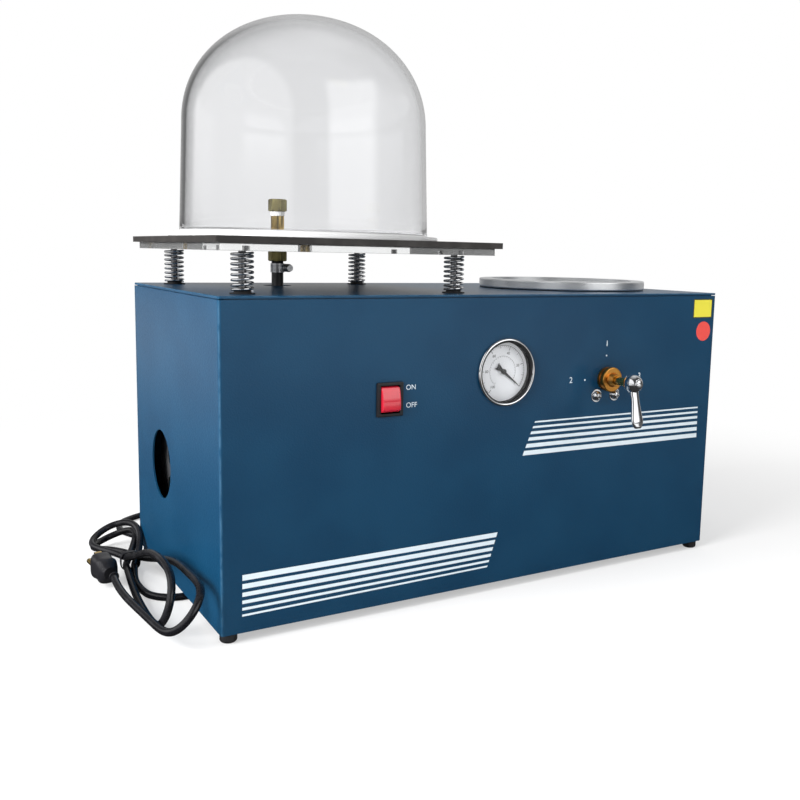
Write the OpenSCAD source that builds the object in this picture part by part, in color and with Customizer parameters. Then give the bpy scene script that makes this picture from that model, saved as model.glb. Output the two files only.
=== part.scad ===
// Vacuum casting machine for jewellery: a sheet-steel cabinet that holds a vacuum pump,
// a sprung vacuum table under a bell jar at the left and a casting chamber at the right.
// Millimetres, +Z up, front towards -Y, origin on the bench under the middle of the cabinet.

/* [Cabinet] */
// Width of the cabinet
cabinet_w = 530; // [480:1:600]
// Depth of the cabinet, front to back
cabinet_d = 264; // [256:1:310]
// Height of the cabinet above its feet
cabinet_h = 266; // [258:1:310]
// Thickness of the folded steel sheet
sheet_t = 1.5; // [1:0.1:2]
// Thickness of the top plate
top_t = 2; // [1.5:0.1:3]
// Outer radius of the folded corners
bend_r = 2.5; // [2.2:0.1:4]
// Shadow gap between the top plate and the panels under it
seam = 0.8; // [0.3:0.1:1.5]
// Width of the folded inner flanges
flange_w = 14; // [10:1:18]
// Diameter of a rubber foot
foot_d = 14; // [12:1:20]
// Height of a rubber foot
foot_h = 8; // [7.5:0.5:14]
// Distance of a foot's centre from the cabinet's outer faces
foot_inset = 8.5; // [8:0.5:20]

/* [Oil window] */
// Diameter of the round window in the left side
window_d = 64; // [50:1:80]
// Window centre behind the middle of the cabinet
window_y = 41; // [30:1:50]
// Window centre above the cabinet's lower edge
window_z = 102; // [90:1:115]

/* [Vacuum table] */
// Distance of the table's centre from the left side of the cabinet
table_inset = 127.5; // [120:0.5:140]
// Table centre behind the middle of the cabinet
table_y = -4; // [-15:1:10]
// Side of the square rubber pad
pad_side = 259; // [245:1:280]
// Thickness of the rubber pad
pad_t = 5.2; // [3:0.1:8]
// How far the acrylic plate lies inside the pad's edges
plate_inset = 5; // [0:0.5:12]
// Thickness of the acrylic plate
plate_t = 6; // [5:0.5:12]
// Clear height between the cabinet's top and the acrylic plate
table_gap = 33.8; // [30:0.1:45]
// Travel of the table when it is pressed down
table_travel = 10; // [4:1:12]

/* [Springs] */
// Distance between neighbouring springs
spring_pitch = 196; // [180:1:215]
// Outside diameter of a spring
spring_d = 18.5; // [16:0.5:24]
// Diameter of the spring wire
spring_wire = 2; // [1.6:0.1:2.2]
// Number of curls in a spring
spring_curls = 8; // [5:1:9]
// Diameter of the guide stud inside a spring
stud_d = 6; // [5:0.5:7]

/* [Bell jar] */
// Outside diameter of the bell jar above its foot
jar_d = 226; // [200:1:236]
// How much narrower the jar is where its dome begins
jar_taper = 6.5; // [0:0.5:10]
// Height of the bell jar
jar_h = 196; // [160:1:240]
// Height of its straight side below the dome
jar_straight = 100; // [60:1:130]
// Wall thickness of the bell jar
jar_wall = 4; // [3:0.5:8]
// Outside diameter of the jar's foot rim
jar_rim_d = 245; // [237:1:250]
// Height of the jar's foot rim
jar_rim_h = 4; // [3:0.5:10]
// How far the jar stands right of the table's middle
jar_dx = -1.8; // [-4:0.1:4]
// How far the jar stands behind the table's middle
jar_dy = 3.2; // [-4:0.1:4]

/* [Vacuum nozzle] */
// Nozzle offset from the table's centre, to the right
nozzle_dx = -4.5; // [-20:0.5:20]
// Nozzle offset from the table's centre, to the back
nozzle_dy = 67; // [50:1:75]
// Outside diameter of the brass stem
nozzle_d = 13; // [10:0.5:14]
// Height of the stem above the pad
nozzle_h = 26; // [15:1:40]
// Height of the hexagon cap on the stem
nozzle_cap_h = 13; // [8:0.5:18]
// Width across the flats of the cap and the nut
nozzle_af = 16; // [15.5:0.5:20]
// Outside diameter of the black hose
hose_d = 11.6; // [10:0.2:13]
// Diameter of the hole that the hose goes through
hose_hole_d = 28; // [22:1:32]

/* [Casting chamber] */
// Distance of the casting ring's centre from the right side of the cabinet
ring_inset = 110.3; // [105:0.1:125]
// Ring centre behind the middle of the cabinet
ring_y = -12.7; // [-16:0.1:5]
// Outside diameter of the casting ring
ring_d = 177; // [160:1:194]
// Width of the casting ring's flat face, from its bore to its outside
ring_land = 13.5; // [12.5:0.5:18]
// Thickness of the casting ring
ring_h = 9; // [7:0.5:14]
// Thickness of the gasket under the ring
gasket_t = 0.8; // [0.5:0.1:1.5]
// Depth of the chamber below the cabinet's top plate
chamber_depth = 176; // [150:1:180]
// Wall thickness of the chamber
chamber_wall = 2.5; // [1.5:0.5:4]

/* [Gauge] */
// Gauge centre above the cabinet's lower edge
gauge_z = 196; // [185:1:210]
// Outside diameter of the gauge bezel
gauge_d = 63.5; // [60:0.5:68]
// How far the bezel stands proud of the front
gauge_proud = 3; // [2:0.5:6]
// Sweep of the needle from rest to full vacuum, in degrees
gauge_sweep = 270; // [180:5:280]

/* [Switch] */
// Switch centre left of the middle
switch_left = 119; // [110:1:140]
// Switch centre above the cabinet's lower edge
switch_z = 179; // [170:1:200]
// Width of the switch bezel
switch_w = 25; // [24:0.5:30]
// Height of the switch bezel
switch_h = 29; // [28.5:0.5:34]
// Angle that the rocker tips through, in degrees
rocker_swing = 16; // [10:1:18]

/* [Valve] */
// Valve axis right of the middle
valve_x = 119; // [110:1:125]
// Valve axis above the cabinet's lower edge
valve_z = 184; // [178:1:200]
// Outside diameter of the brass panel nut
valve_nut_d = 24; // [22:0.5:27]
// How far the lever's hub centre stands out from the front
lever_reach = 38; // [32:1:50]
// Length of the lever from its hub centre to its tip
lever_len = 42; // [35:0.5:55]
// Angle at which the lever's arm leans away from the front, in degrees
lever_lean = 12.5; // [0:0.5:20]

/* [Cord] */
// Diameter of the mains cord
cord_d = 6.5; // [6:0.1:7]

/* [Hidden] */
$fn = 64;

// Clearances
touch = 0.1;        // radial gap of a part that is fixed in a hole
running = 0.05;     // radial gap of a part that turns in a hole
near = 0.3;         // gap between parts that only just clear
cut = 1;            // how far a cutter runs past the face that it cuts

// Cabinet
cab_z0 = foot_h;
cab_z1 = foot_h + cabinet_h;
left_x = -cabinet_w / 2;
right_x = cabinet_w / 2;
front_y = -cabinet_d / 2;
back_y = cabinet_d / 2;
wrap_z1 = cab_z1 - top_t - seam;
panel_in_y = front_y + sheet_t;
flange_y = back_y - 2 * sheet_t;
sheet_under = cab_z1 - top_t;
top_edge_r = 1;
base_t = 2;
lip_margin = 4;
screw_d = 4;
screw_head_d = 7.5;
screw_head_h = 2.2;
screw_len = 8;
screw_edge = 25;
foot_screw_reach = 3.5;

// Vacuum table
table_x = left_x + table_inset;
plate_side = pad_side - 2 * plate_inset;
plate_z0 = cab_z1 + table_gap;
pad_z0 = plate_z0 + plate_t;
pad_z1 = pad_z0 + pad_t;
sheet_corner_r = 2;
stud_hole_d = stud_d + 2;
stud_blind = plate_t - 2;
stud_below = table_travel + 8;
stud_nut_h = 5;
stud_nut_af = 10;
seat_flange_t = 1;
seat_boss_h = 3.5;
spring_mean = spring_d - spring_wire;
seat_boss_d = spring_d - 2 * spring_wire - 2 * touch - 1;
spring_space = table_gap - seat_flange_t - 2 * near;
end_gap = 0.6;

// Nozzle and its hose
nozzle_x = table_x + nozzle_dx;
nozzle_y = table_y + nozzle_dy;
nozzle_nut_h = 10;
nozzle_bore = 5;
hose_wall = 1.5;
hose_bore = hose_d - 2 * hose_wall;
barb_len = 16;
hose_top = plate_z0 - nozzle_nut_h;
hose_below = 50;
hose_foot = cab_z1 - hose_below;
clamp_h = 9;
clamp_t = 1;
clamp_drop = 2;

// Casting chamber
ring_bore = ring_d - 2 * ring_land;
ring_x = right_x - ring_inset;
ring_z0 = cab_z1 + gasket_t;
ring_z1 = ring_z0 + ring_h;
ring_edge_r = 1.5;
ring_screw_count = 6;
ring_screw_r = (ring_bore + ring_d) / 4;
chamber_flange_t = 3;
chamber_floor_t = 4;
chamber_z0 = sheet_under - chamber_depth;
port_d = 14;
port_len = 20;

// Gauge
gauge_axis_z = cab_z0 + gauge_z;
gauge_case_d = gauge_d - 5.5;
gauge_case_wall = 1;
gauge_case_depth = 30;
gauge_dial_depth = 6;
gauge_dial_t = 0.8;
gauge_lens_t = 1.5;
gauge_rest_angle = -37.5;
needle_len = 20.5;
tee_depth = gauge_case_depth + 12;
tee_half = 24;

// Switch
switch_x = -switch_left;
switch_axis_z = cab_z0 + switch_z;
switch_bezel_t = 2;
switch_body_depth = 22;
rocker_w = 18;
rocker_r = 11.6;
rocker_pivot = -3;
rocker_pin_d = 3;
rocker_pin_len = 1.2;
rocker_gap = 0.2;
switch_slot_h = 2 * rocker_r + 0.8;
switch_body_w = switch_w - 3;
switch_body_h = switch_h - 2.6;

// Valve
valve_axis_z = cab_z0 + valve_z;
valve_block = 30;
valve_neck_d = 16;
valve_nut_h = 10;
valve_neck_h = 8;
spindle_d = 8;
plug_turn_d = 16;
plug_turn_len = 22;
bracket_t = 3;
valve_back = sheet_t + bracket_t + valve_block;
hub_d = 18;
arm_t = 5;
hub_depth = 15;
hub_cap_d = 9;
hub_cap_h = 1.6;
nut_boss_h = 5;
fixing_dx = 11.5;
fixing_dz = -16;
barb_d = 8;

// Pump: the motor lies along X behind the oil case, which faces the window
pump_gap = 13;
pump_y = window_y;
oil_x0 = left_x + sheet_t + pump_gap;
oil_len = 78;
oil_w = 114;
oil_wall = 4;
rail_z0 = cab_z0 + base_t + 10;
rail_t = 4;
rail_z1 = rail_z0 + rail_t;
motor_r = 56;
motor_z = rail_z1 + motor_r + 8;
motor_wall = 4;
head_t = 22;
oil_z1 = motor_z + motor_r + 24;
oil_x1 = oil_x0 + oil_len;
head_x1 = oil_x1 + head_t;
cowl_len = 32;
cowl_grip = 8;
cowl_t = 1.2;
cowl_gap = 45.7;    // from the cowl to the chamber
chamber_x0 = ring_x - ring_bore / 2 - chamber_wall;
motor_x1 = chamber_x0 - cowl_gap - cowl_len;
motor_len = motor_x1 - head_x1;
rotor_end = 31;     // from a motor end plate to the rotor's core
rotor_d = 59;
vane_rotor_d = 38;
vane_rotor_len = 32;
vane_bore_d = 44;
vane_end = 42;      // reach of the shaft into the pump head
vane_wall = 8;
rail_w = 104;
rail_inset = 12;
rail_past = 8;
saddle_t = 22;
saddle_d = 80;
saddle_h = 34;
saddle_inset = 24;
isolator_d = 20;
isolator_dy = 38;
end_t = 8;
shaft_d = 12;
bearing_d = 32;
bearing_w = 10;
fan_gap = 4;
fan_w = 16;
fan_r = 46;
inlet_x = oil_x1 + head_t / 2;
inlet_top = oil_z1 + 16;
glass_z = cab_z0 + window_z + 8;
drain_z = cab_z0 + window_z - 20;

// Cord outlet
gland_x = left_x + 65;
gland_z = cab_z0 + 32;
relief_len = 32;
gland_d = 15;

// Colours
paint = [0.10, 0.24, 0.36];
steel = [0.72, 0.73, 0.74];
chrome = [0.86, 0.87, 0.88];
brass = [0.80, 0.58, 0.26];
rubber = [0.07, 0.07, 0.075];
plastic = [0.05, 0.05, 0.055];

// ---------------------------------------------------------------- helpers

// Rectangle with round corners, centred
module round_rect(w, d, r) {
    square([w, d - 2 * r], center = true);
    square([w - 2 * r, d], center = true);
    for (sx = [-1, 1], sy = [-1, 1])
        translate([sx * (w / 2 - r), sy * (d / 2 - r)]) circle(r);
}

// Rectangle whose two upper corners are round, standing on the X axis
module top_round(w, h, r) {
    translate([-w / 2, 0]) square([w, h - r]);
    translate([-w / 2 + r, 0]) square([w - 2 * r, h]);
    for (s = [-1, 1]) translate([s * (w / 2 - r), h - r]) circle(r);
}

// Slab with round upright corners and a round upper edge
module soft_slab(w, d, h, corner, edge) {
    intersection() {
        linear_extrude(h) round_rect(w, d, corner);
        translate([-w / 2, 0, 0]) rotate([90, 0, 90]) linear_extrude(w) top_round(d, h, edge);
        translate([0, d / 2, 0]) rotate([90, 0, 0]) linear_extrude(d) top_round(w, h, edge);
    }
}

// Children on the front panel: local X stays, local Y is up, local Z points to the viewer
module on_front(x, z) {
    translate([x, front_y, z]) rotate([90, 0, 0]) children();
}

// Children with their Z axis along +X
module along_x(x, y, z) {
    translate([x, y, z]) rotate([0, 90, 0]) children();
}

// Round ring standing on z = 0
module ring(d_out, d_in, h) {
    difference() {
        cylinder(d = d_out, h = h);
        translate([0, 0, -cut]) cylinder(d = d_in, h = h + 2 * cut);
    }
}

// Hexagon prism by its width across the flats
module hexagon(af, h) {
    cylinder(d = af / cos(30), h = h, $fn = 6);
}

// Pan-head screw: the head stands on z = 0 and the shank goes down
module pan_screw(d, len, head_d, head_h) {
    translate([0, 0, -len]) cylinder(d = d, h = len, $fn = 24);
    rotate_extrude($fn = 32) {
        square([head_d / 2, head_h / 2]);
        intersection() {
            translate([0, -head_d * 0.6 + head_h]) circle(head_d * 0.6);
            square([head_d / 2, head_h]);
        }
    }
}

// ---- tubes that follow a line of points

function unit(v) = v / norm(v);
function direction(p, i) =
    unit(p[min(i + 1, len(p) - 1)] - p[max(i - 1, 0)]);
function square_to(v, t) = unit(v - (v * t) * t);
function side_vectors(p, first) = [
    for (i = 0, n = square_to(first, direction(p, 0));
         i < len(p);
         i = i + 1, n = square_to(n, direction(p, min(i, len(p) - 1)))) n
];
function ring_points(c, t, n, r, sides) = [
    for (k = [0:sides - 1])
        let (a = 360 * k / sides, b = cross(t, n))
        c + r * (cos(a) * n + sin(a) * b)
];
function tube_points(p, r, sides, first) =
    let (ns = side_vectors(p, first))
    [for (i = [0:len(p) - 1]) each ring_points(p[i], direction(p, i), ns[i], r, sides)];
function tube_faces(rings, sides) = concat(
    [for (k = [1:sides - 2]) [0, k, k + 1]],
    [for (i = [0:rings - 2], k = [0:sides - 1])
        let (a = i * sides + k, b = i * sides + (k + 1) % sides)
        each [[a, a + sides, b], [b, a + sides, b + sides]]],
    [for (k = [1:sides - 2])
        let (z = (rings - 1) * sides)
        [z, z + k + 1, z + k]]
);
module tube(p, r, sides, first = [0, 0, 1]) {
    polyhedron(points = tube_points(p, r, sides, first), faces = tube_faces(len(p), sides));
}

// Smooth line through hand-placed points, with a number of steps between neighbours
function spline_at(a, b, c, d, t) =
    0.5 * (2 * b + (c - a) * t + (2 * a - 5 * b + 4 * c - d) * t * t
        + (3 * b - a - 3 * c + d) * t * t * t);
function smooth_line(p, steps) = concat(
    [for (i = [0:len(p) - 2], s = [0:steps - 1])
        let (last = len(p) - 1)
        spline_at(p[max(i - 1, 0)], p[i], p[i + 1], p[min(i + 2, last)], s / steps)],
    [p[len(p) - 1]]
);

// ---------------------------------------------------------------- cabinet

// Plan of the folded wrap: front, two sides and the two return flanges at the back
module wrap_plan() {
    difference() {
        translate([0, -sheet_t / 2]) round_rect(cabinet_w, cabinet_d - sheet_t, bend_r);
        translate([0, -sheet_t / 2])
            round_rect(cabinet_w - 2 * sheet_t, cabinet_d - 3 * sheet_t, bend_r - sheet_t);
        translate([left_x + sheet_t + flange_w, flange_y - cut])
            square([cabinet_w - 2 * sheet_t - 2 * flange_w, 2 * sheet_t + cut]);
    }
}

module cabinet_wrap() {
    color(paint) difference() {
        translate([0, 0, cab_z0]) linear_extrude(wrap_z1 - cab_z0) wrap_plan();
        on_front(0, gauge_axis_z) translate([0, 0, -sheet_t - cut])
            cylinder(d = gauge_case_d + 2 * near, h = sheet_t + 2 * cut);
        on_front(switch_x, switch_axis_z) translate([0, 0, -sheet_t / 2])
            cube([switch_body_w + 2 * touch, switch_body_h + 2 * touch, sheet_t + 2 * cut], center = true);
        on_front(valve_x, valve_axis_z) translate([0, 0, -sheet_t - cut])
            cylinder(d = valve_neck_d + 2 * near, h = sheet_t + 2 * cut);
        valve_fixings() translate([0, 0, -sheet_t - cut])
            cylinder(d = screw_d + 2 * near, h = sheet_t + 2 * cut, $fn = 32);
        along_x(left_x - cut, window_y, cab_z0 + window_z)
            cylinder(d = window_d, h = sheet_t + 2 * cut, $fn = 96);
        flange_screw_places() screw_hole();
    }
}

module top_plate() {
    lip_h = flange_w;
    side_y0 = front_y + sheet_t + lip_margin;
    side_len = cabinet_d - 3 * sheet_t - 2 * lip_margin;
    front_len = cabinet_w - 2 * sheet_t - 2 * lip_margin;
    back_len = cabinet_w - 2 * sheet_t - 2 * flange_w - 2 * lip_margin;
    color(paint) difference() {
        union() {
            translate([0, 0, sheet_under])
                soft_slab(cabinet_w, cabinet_d, top_t, bend_r, top_edge_r);
            for (x = [left_x + sheet_t, right_x - 2 * sheet_t])
                translate([x, side_y0, sheet_under - lip_h]) cube([sheet_t, side_len, lip_h]);
            translate([-front_len / 2, panel_in_y, sheet_under - lip_h])
                cube([front_len, sheet_t, lip_h]);
            translate([-back_len / 2, flange_y, sheet_under - lip_h])
                cube([back_len, sheet_t, lip_h]);
        }
        translate([ring_x, ring_y, sheet_under - cut])
            cylinder(d = ring_bore, h = top_t + 2 * cut, $fn = 128);
        ring_screw_places() translate([0, 0, sheet_under - cut])
            cylinder(d = screw_d + 2 * near, h = top_t + 2 * cut, $fn = 24);
        translate([nozzle_x, nozzle_y, sheet_under - cut])
            cylinder(d = hose_hole_d, h = top_t + 2 * cut);
        spring_places() translate([0, 0, sheet_under - cut])
            cylinder(d = stud_hole_d, h = top_t + 2 * cut, $fn = 32);
        translate([0, 0, sheet_under - lip_h / 2]) screw_hole();
    }
}

module base_plate() {
    inner_w = cabinet_w - 2 * sheet_t;
    inner_y0 = front_y + sheet_t;
    inner_d = flange_y - inner_y0;
    tongue_w = inner_w - 2 * flange_w - 2 * lip_margin;
    lip_h = flange_w;
    color(paint) difference() {
        union() {
            translate([0, inner_y0 + inner_d / 2, cab_z0]) linear_extrude(base_t)
                round_rect(inner_w, inner_d, bend_r - sheet_t + near);
            translate([-tongue_w / 2, flange_y - cut, cab_z0])
                cube([tongue_w, sheet_t + cut, lip_h]);
            for (x = [-inner_w / 2, inner_w / 2 - sheet_t])
                translate([x, inner_y0 + lip_margin, cab_z0])
                    cube([sheet_t, inner_d - 2 * lip_margin, lip_h]);
        }
        foot_places() translate([0, 0, cab_z0 - cut])
            cylinder(d = screw_d + 2 * near, h = base_t + 2 * cut, $fn = 24);
        translate([0, 0, cab_z0 + lip_h / 2]) screw_hole();
    }
}

// Clearance hole through the back edge of the cabinet
module screw_hole() {
    translate([0, back_y + cut, 0]) rotate([90, 0, 0])
        cylinder(d = screw_d + 2 * near, h = 4 * sheet_t + 2 * cut, $fn = 24);
}

module flange_screw_places() {
    for (s = [-1, 1], z = [cab_z0 + screw_edge, (cab_z0 + wrap_z1) / 2, wrap_z1 - screw_edge])
        translate([s * (cabinet_w / 2 - sheet_t - flange_w / 2), 0, z]) children();
}

module back_screw_places() {
    flange_screw_places() children();
    translate([0, 0, sheet_under - flange_w / 2]) children();
    translate([0, 0, cab_z0 + flange_w / 2]) children();
}

module vent_slot() {
    slot_w = 60;
    slot_h = 5;
    rotate([90, 0, 0]) translate([0, 0, -cut]) {
        translate([-slot_w / 2, -slot_h / 2, 0]) cube([slot_w, slot_h, sheet_t + 2 * cut]);
        for (s = [-1, 1]) translate([s * slot_w / 2, 0, 0])
            cylinder(d = slot_h, h = sheet_t + 2 * cut, $fn = 24);
    }
}

module back_panel() {
    vent_step = 14;
    vent_rows = 7;
    vent_z = cab_z0 + 70;
    color(paint) difference() {
        translate([left_x + near, back_y - sheet_t, cab_z0])
            cube([cabinet_w - 2 * near, sheet_t, wrap_z1 - cab_z0]);
        back_screw_places() screw_hole();
        for (x = [-90, 0, 90], i = [0:vent_rows - 1])
            translate([x, back_y, vent_z + i * vent_step]) vent_slot();
        translate([gland_x, back_y + cut, gland_z]) rotate([90, 0, 0])
            cylinder(d = gland_d + 2 * touch, h = sheet_t + 2 * cut);
    }
}

// The same screw holds the back panel and, from inside, the feet
module cabinet_screws() {
    color(steel) {
        back_screw_places() translate([0, back_y, 0]) rotate([-90, 0, 0])
            pan_screw(screw_d, screw_len, screw_head_d, screw_head_h);
        foot_places() translate([0, 0, cab_z0 + base_t])
            pan_screw(screw_d, base_t + foot_screw_reach, screw_head_d, screw_head_h);
    }
}

module foot_places() {
    for (sx = [-1, 1], sy = [-1, 1])
        translate([sx * (cabinet_w / 2 - foot_inset), sy * (cabinet_d / 2 - foot_inset), 0])
            children();
}

module rubber_feet() {
    sole_r = 2.5;
    color(rubber) foot_places() difference() {
        rotate_extrude() {
            translate([0, sole_r]) square([foot_d / 2, foot_h - sole_r]);
            square([foot_d / 2 - sole_r, foot_h]);
            translate([foot_d / 2 - sole_r, sole_r]) circle(sole_r, $fn = 32);
        }
        translate([0, 0, foot_h - foot_screw_reach - touch])
            cylinder(d = screw_d + 2 * touch, h = foot_screw_reach + cut, $fn = 24);
    }
}

// ---------------------------------------------------------------- vacuum table

module spring_places() {
    for (sx = [-1, 1], sy = [-1, 1]) at_spring(sx, sy) children();
}

module at_spring(sx, sy) {
    translate([table_x + sx * spring_pitch / 2, table_y + sy * spring_pitch / 2, 0]) children();
}

module table_plate() {
    color([0.85, 0.88, 0.90, 0.6]) difference() {
        translate([table_x, table_y, plate_z0]) linear_extrude(plate_t)
            round_rect(plate_side, plate_side, sheet_corner_r);
        translate([nozzle_x, nozzle_y, plate_z0 - cut])
            cylinder(d = nozzle_d + 2 * touch, h = plate_t + 2 * cut);
        spring_places() translate([0, 0, plate_z0 - cut])
            cylinder(d = stud_d + 2 * touch, h = stud_blind + cut, $fn = 32);
    }
}

module table_pad() {
    color(rubber) difference() {
        translate([table_x, table_y, pad_z0]) linear_extrude(pad_t)
            round_rect(pad_side, pad_side, sheet_corner_r);
        translate([nozzle_x, nozzle_y, pad_z0 - cut])
            cylinder(d = nozzle_d + 2 * touch, h = pad_t + 2 * cut);
    }
}

module guide_studs() {
    foot_z = sheet_under - stud_below;
    color([0.45, 0.46, 0.48]) spring_places() translate([0, 0, foot_z])
        cylinder(d = stud_d, h = plate_z0 + stud_blind - foot_z, $fn = 32);
}

module stud_nuts() {
    color(steel) spring_places() translate([0, 0, sheet_under - near - stud_nut_h]) difference() {
        hexagon(stud_nut_af, stud_nut_h);
        translate([0, 0, -cut]) cylinder(d = stud_d + 2 * touch, h = stud_nut_h + 2 * cut, $fn = 32);
    }
}

module spring_seats() {
    color(rubber) spring_places() translate([0, 0, cab_z1]) difference() {
        union() {
            cylinder(d = spring_d + 1.5, h = seat_flange_t);
            cylinder(d = seat_boss_d, h = seat_flange_t + seat_boss_h);
        }
        translate([0, 0, -cut])
            cylinder(d = stud_hole_d, h = seat_flange_t + seat_boss_h + 2 * cut, $fn = 32);
    }
}

// Height of the wire's centre after a number of turns: the end turns are nearly closed
spring_end_pitch = spring_wire + end_gap;
spring_rise = spring_space - spring_wire;
spring_mid_pitch = (spring_rise - 2 * spring_end_pitch) / (spring_curls - 2);
function wire_height(turn) =
    turn <= 1 ? spring_end_pitch * turn
    : turn >= spring_curls - 1
        ? spring_rise - spring_end_pitch * (spring_curls - turn)
        : spring_end_pitch + spring_mid_pitch * (turn - 1);
spring_rings = 8;
function spring_line() = [
    for (i = [0:spring_curls * spring_rings])
        let (turn = i / spring_rings)
        [spring_mean / 2 * cos(360 * turn), spring_mean / 2 * sin(360 * turn), wire_height(turn)]
];
module spring() {
    translate([0, 0, cab_z1 + seat_flange_t + near + spring_wire / 2])
        tube(spring_line(), spring_wire / 2, 6);
}
echo(spring_least_gap = spring_end_pitch * cos(atan(spring_end_pitch / (PI * spring_mean))) - spring_wire);

module spring_front_left() { color(steel) at_spring(-1, -1) spring(); }
module spring_front_right() { color(steel) at_spring(1, -1) spring(); }
module spring_back_left() { color(steel) at_spring(-1, 1) spring(); }
module spring_back_right() { color(steel) at_spring(1, 1) spring(); }

// ---------------------------------------------------------------- bell jar

// Side of the jar: nearly upright, then an ellipse-like dome that is squarer than a circle
dome_power = 2.1;
dome_steps = 14;
function dome_point(r, h, a) = [
    r * pow(cos(a), 2 / dome_power),
    jar_straight + h * pow(sin(a), 2 / dome_power)
];
function dome_line(r, h) = [for (i = [0:dome_steps]) dome_point(r, h, 90 * i / dome_steps)];

module bell_jar() {
    r = jar_d / 2;
    dome_r = r - jar_taper / 2;
    dome_h = jar_h - jar_straight;
    inner = dome_line(dome_r - jar_wall, dome_h - jar_wall);
    color([0.85, 0.90, 0.93, 0.35]) translate([table_x + jar_dx, table_y + jar_dy, pad_z1])
        rotate_extrude($fn = 96) {
            polygon(concat(
                [[r - jar_wall, 0], [r, 0]],
                dome_line(dome_r, dome_h),
                [for (i = [dome_steps:-1:0]) inner[i]]
            ));
            translate([r - jar_wall / 2, 0]) square([jar_rim_d / 2 - r + jar_wall / 2, jar_rim_h]);
        }
}

// ---------------------------------------------------------------- nozzle and hose

module at_nozzle(z) { translate([nozzle_x, nozzle_y, z]) children(); }

module vacuum_nozzle() {
    stem_z0 = plate_z0 - nozzle_nut_h;
    color(brass) at_nozzle(0) difference() {
        union() {
            translate([0, 0, plate_z0]) cylinder(d = nozzle_d, h = pad_z1 + nozzle_h - plate_z0);
            translate([0, 0, stem_z0]) cylinder(d = nozzle_d - 2, h = nozzle_nut_h);
            translate([0, 0, stem_z0 - barb_len])
                cylinder(d = hose_bore - 2 * touch, h = barb_len);
        }
        translate([0, 0, stem_z0 - barb_len - cut])
            cylinder(d = nozzle_bore, h = pad_z1 + nozzle_h - stem_z0 + barb_len + 2 * cut, $fn = 32);
    }
}

module nozzle_cap() {
    color(brass) at_nozzle(pad_z1 + nozzle_h) difference() {
        hexagon(nozzle_af, nozzle_cap_h);
        translate([0, 0, -cut])
            cylinder(d = nozzle_bore, h = nozzle_cap_h + 2 * cut, $fn = 32);
    }
}

module nozzle_nut() {
    color([0.62, 0.53, 0.30]) at_nozzle(plate_z0 - nozzle_nut_h) difference() {
        hexagon(nozzle_af, nozzle_nut_h);
        translate([0, 0, -cut])
            cylinder(d = nozzle_d - 2 + 2 * touch, h = nozzle_nut_h + 2 * cut, $fn = 32);
    }
}

module hose_clamp() {
    worm_d = 8;
    worm_len = 15;
    worm_x = hose_d / 2 + clamp_t + worm_d / 2 - 0.5;
    color(steel) at_nozzle(hose_top - clamp_drop - clamp_h) {
        ring(hose_d + 2 * touch + 2 * clamp_t, hose_d + 2 * touch, clamp_h);
        translate([worm_x, worm_len / 2, clamp_h / 2]) rotate([90, 0, 0])
            cylinder(d = worm_d, h = worm_len, $fn = 32);
    }
}

module table_hose() {
    color(rubber) at_nozzle(hose_foot) ring(hose_d, hose_bore, hose_top - hose_foot);
}

// ---------------------------------------------------------------- casting chamber

module at_ring(z) { translate([ring_x, ring_y, z]) children(); }

module ring_screw_places() {
    for (i = [0:ring_screw_count - 1]) at_ring(0)
        rotate([0, 0, 30 + 360 * i / ring_screw_count]) translate([ring_screw_r, 0, 0]) children();
}

module casting_ring() {
    blind = 6;
    color(steel) difference() {
        at_ring(ring_z0) rotate_extrude($fn = 128) {
            translate([ring_bore / 2, 0]) square([(ring_d - ring_bore) / 2 - ring_edge_r, ring_h]);
            translate([ring_bore / 2, ring_edge_r])
                square([(ring_d - ring_bore) / 2, ring_h - 2 * ring_edge_r]);
            for (z = [ring_edge_r, ring_h - ring_edge_r])
                translate([ring_d / 2 - ring_edge_r, z]) circle(ring_edge_r, $fn = 32);
        }
        ring_screw_places() translate([0, 0, ring_z0 - cut])
            cylinder(d = screw_d + 2 * touch, h = blind + cut, $fn = 24);
    }
}

module ring_gasket() {
    color(rubber) difference() {
        at_ring(cab_z1) ring(ring_d - 2, ring_bore, gasket_t);
        ring_screw_places() translate([0, 0, cab_z1 - cut])
            cylinder(d = screw_d + 2 * near, h = gasket_t + 2 * cut, $fn = 24);
    }
}

module casting_chamber() {
    flange_z = sheet_under - chamber_flange_t;
    color(steel) difference() {
        union() {
            at_ring(chamber_z0) cylinder(d = ring_bore + 2 * chamber_wall, h = chamber_depth, $fn = 128);
            at_ring(flange_z) cylinder(d = ring_d - 2, h = chamber_flange_t, $fn = 128);
        }
        at_ring(chamber_z0 + chamber_floor_t) cylinder(d = ring_bore, h = chamber_depth, $fn = 128);
        at_ring(chamber_z0 - cut) cylinder(d = port_d + 2 * touch, h = chamber_floor_t + 2 * cut);
        ring_screw_places() translate([0, 0, flange_z - cut])
            cylinder(d = screw_d + 2 * near, h = chamber_flange_t + 2 * cut, $fn = 24);
    }
}

module chamber_port() {
    color(brass) at_ring(chamber_z0) difference() {
        union() {
            cylinder(d = port_d, h = chamber_floor_t);
            translate([0, 0, -5]) hexagon(port_d + 5, 5);
            translate([0, 0, -port_len]) cylinder(d = barb_d, h = port_len);
        }
        translate([0, 0, -port_len - cut])
            cylinder(d = nozzle_bore, h = port_len + chamber_floor_t + 2 * cut, $fn = 32);
    }
}

module ring_screws() {
    reach = chamber_flange_t + top_t + gasket_t + 5;
    color(steel) ring_screw_places() translate([0, 0, sheet_under - chamber_flange_t])
        mirror([0, 0, 1]) pan_screw(screw_d, reach, screw_head_d, screw_head_h);
}

// ---------------------------------------------------------------- gauge

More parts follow.
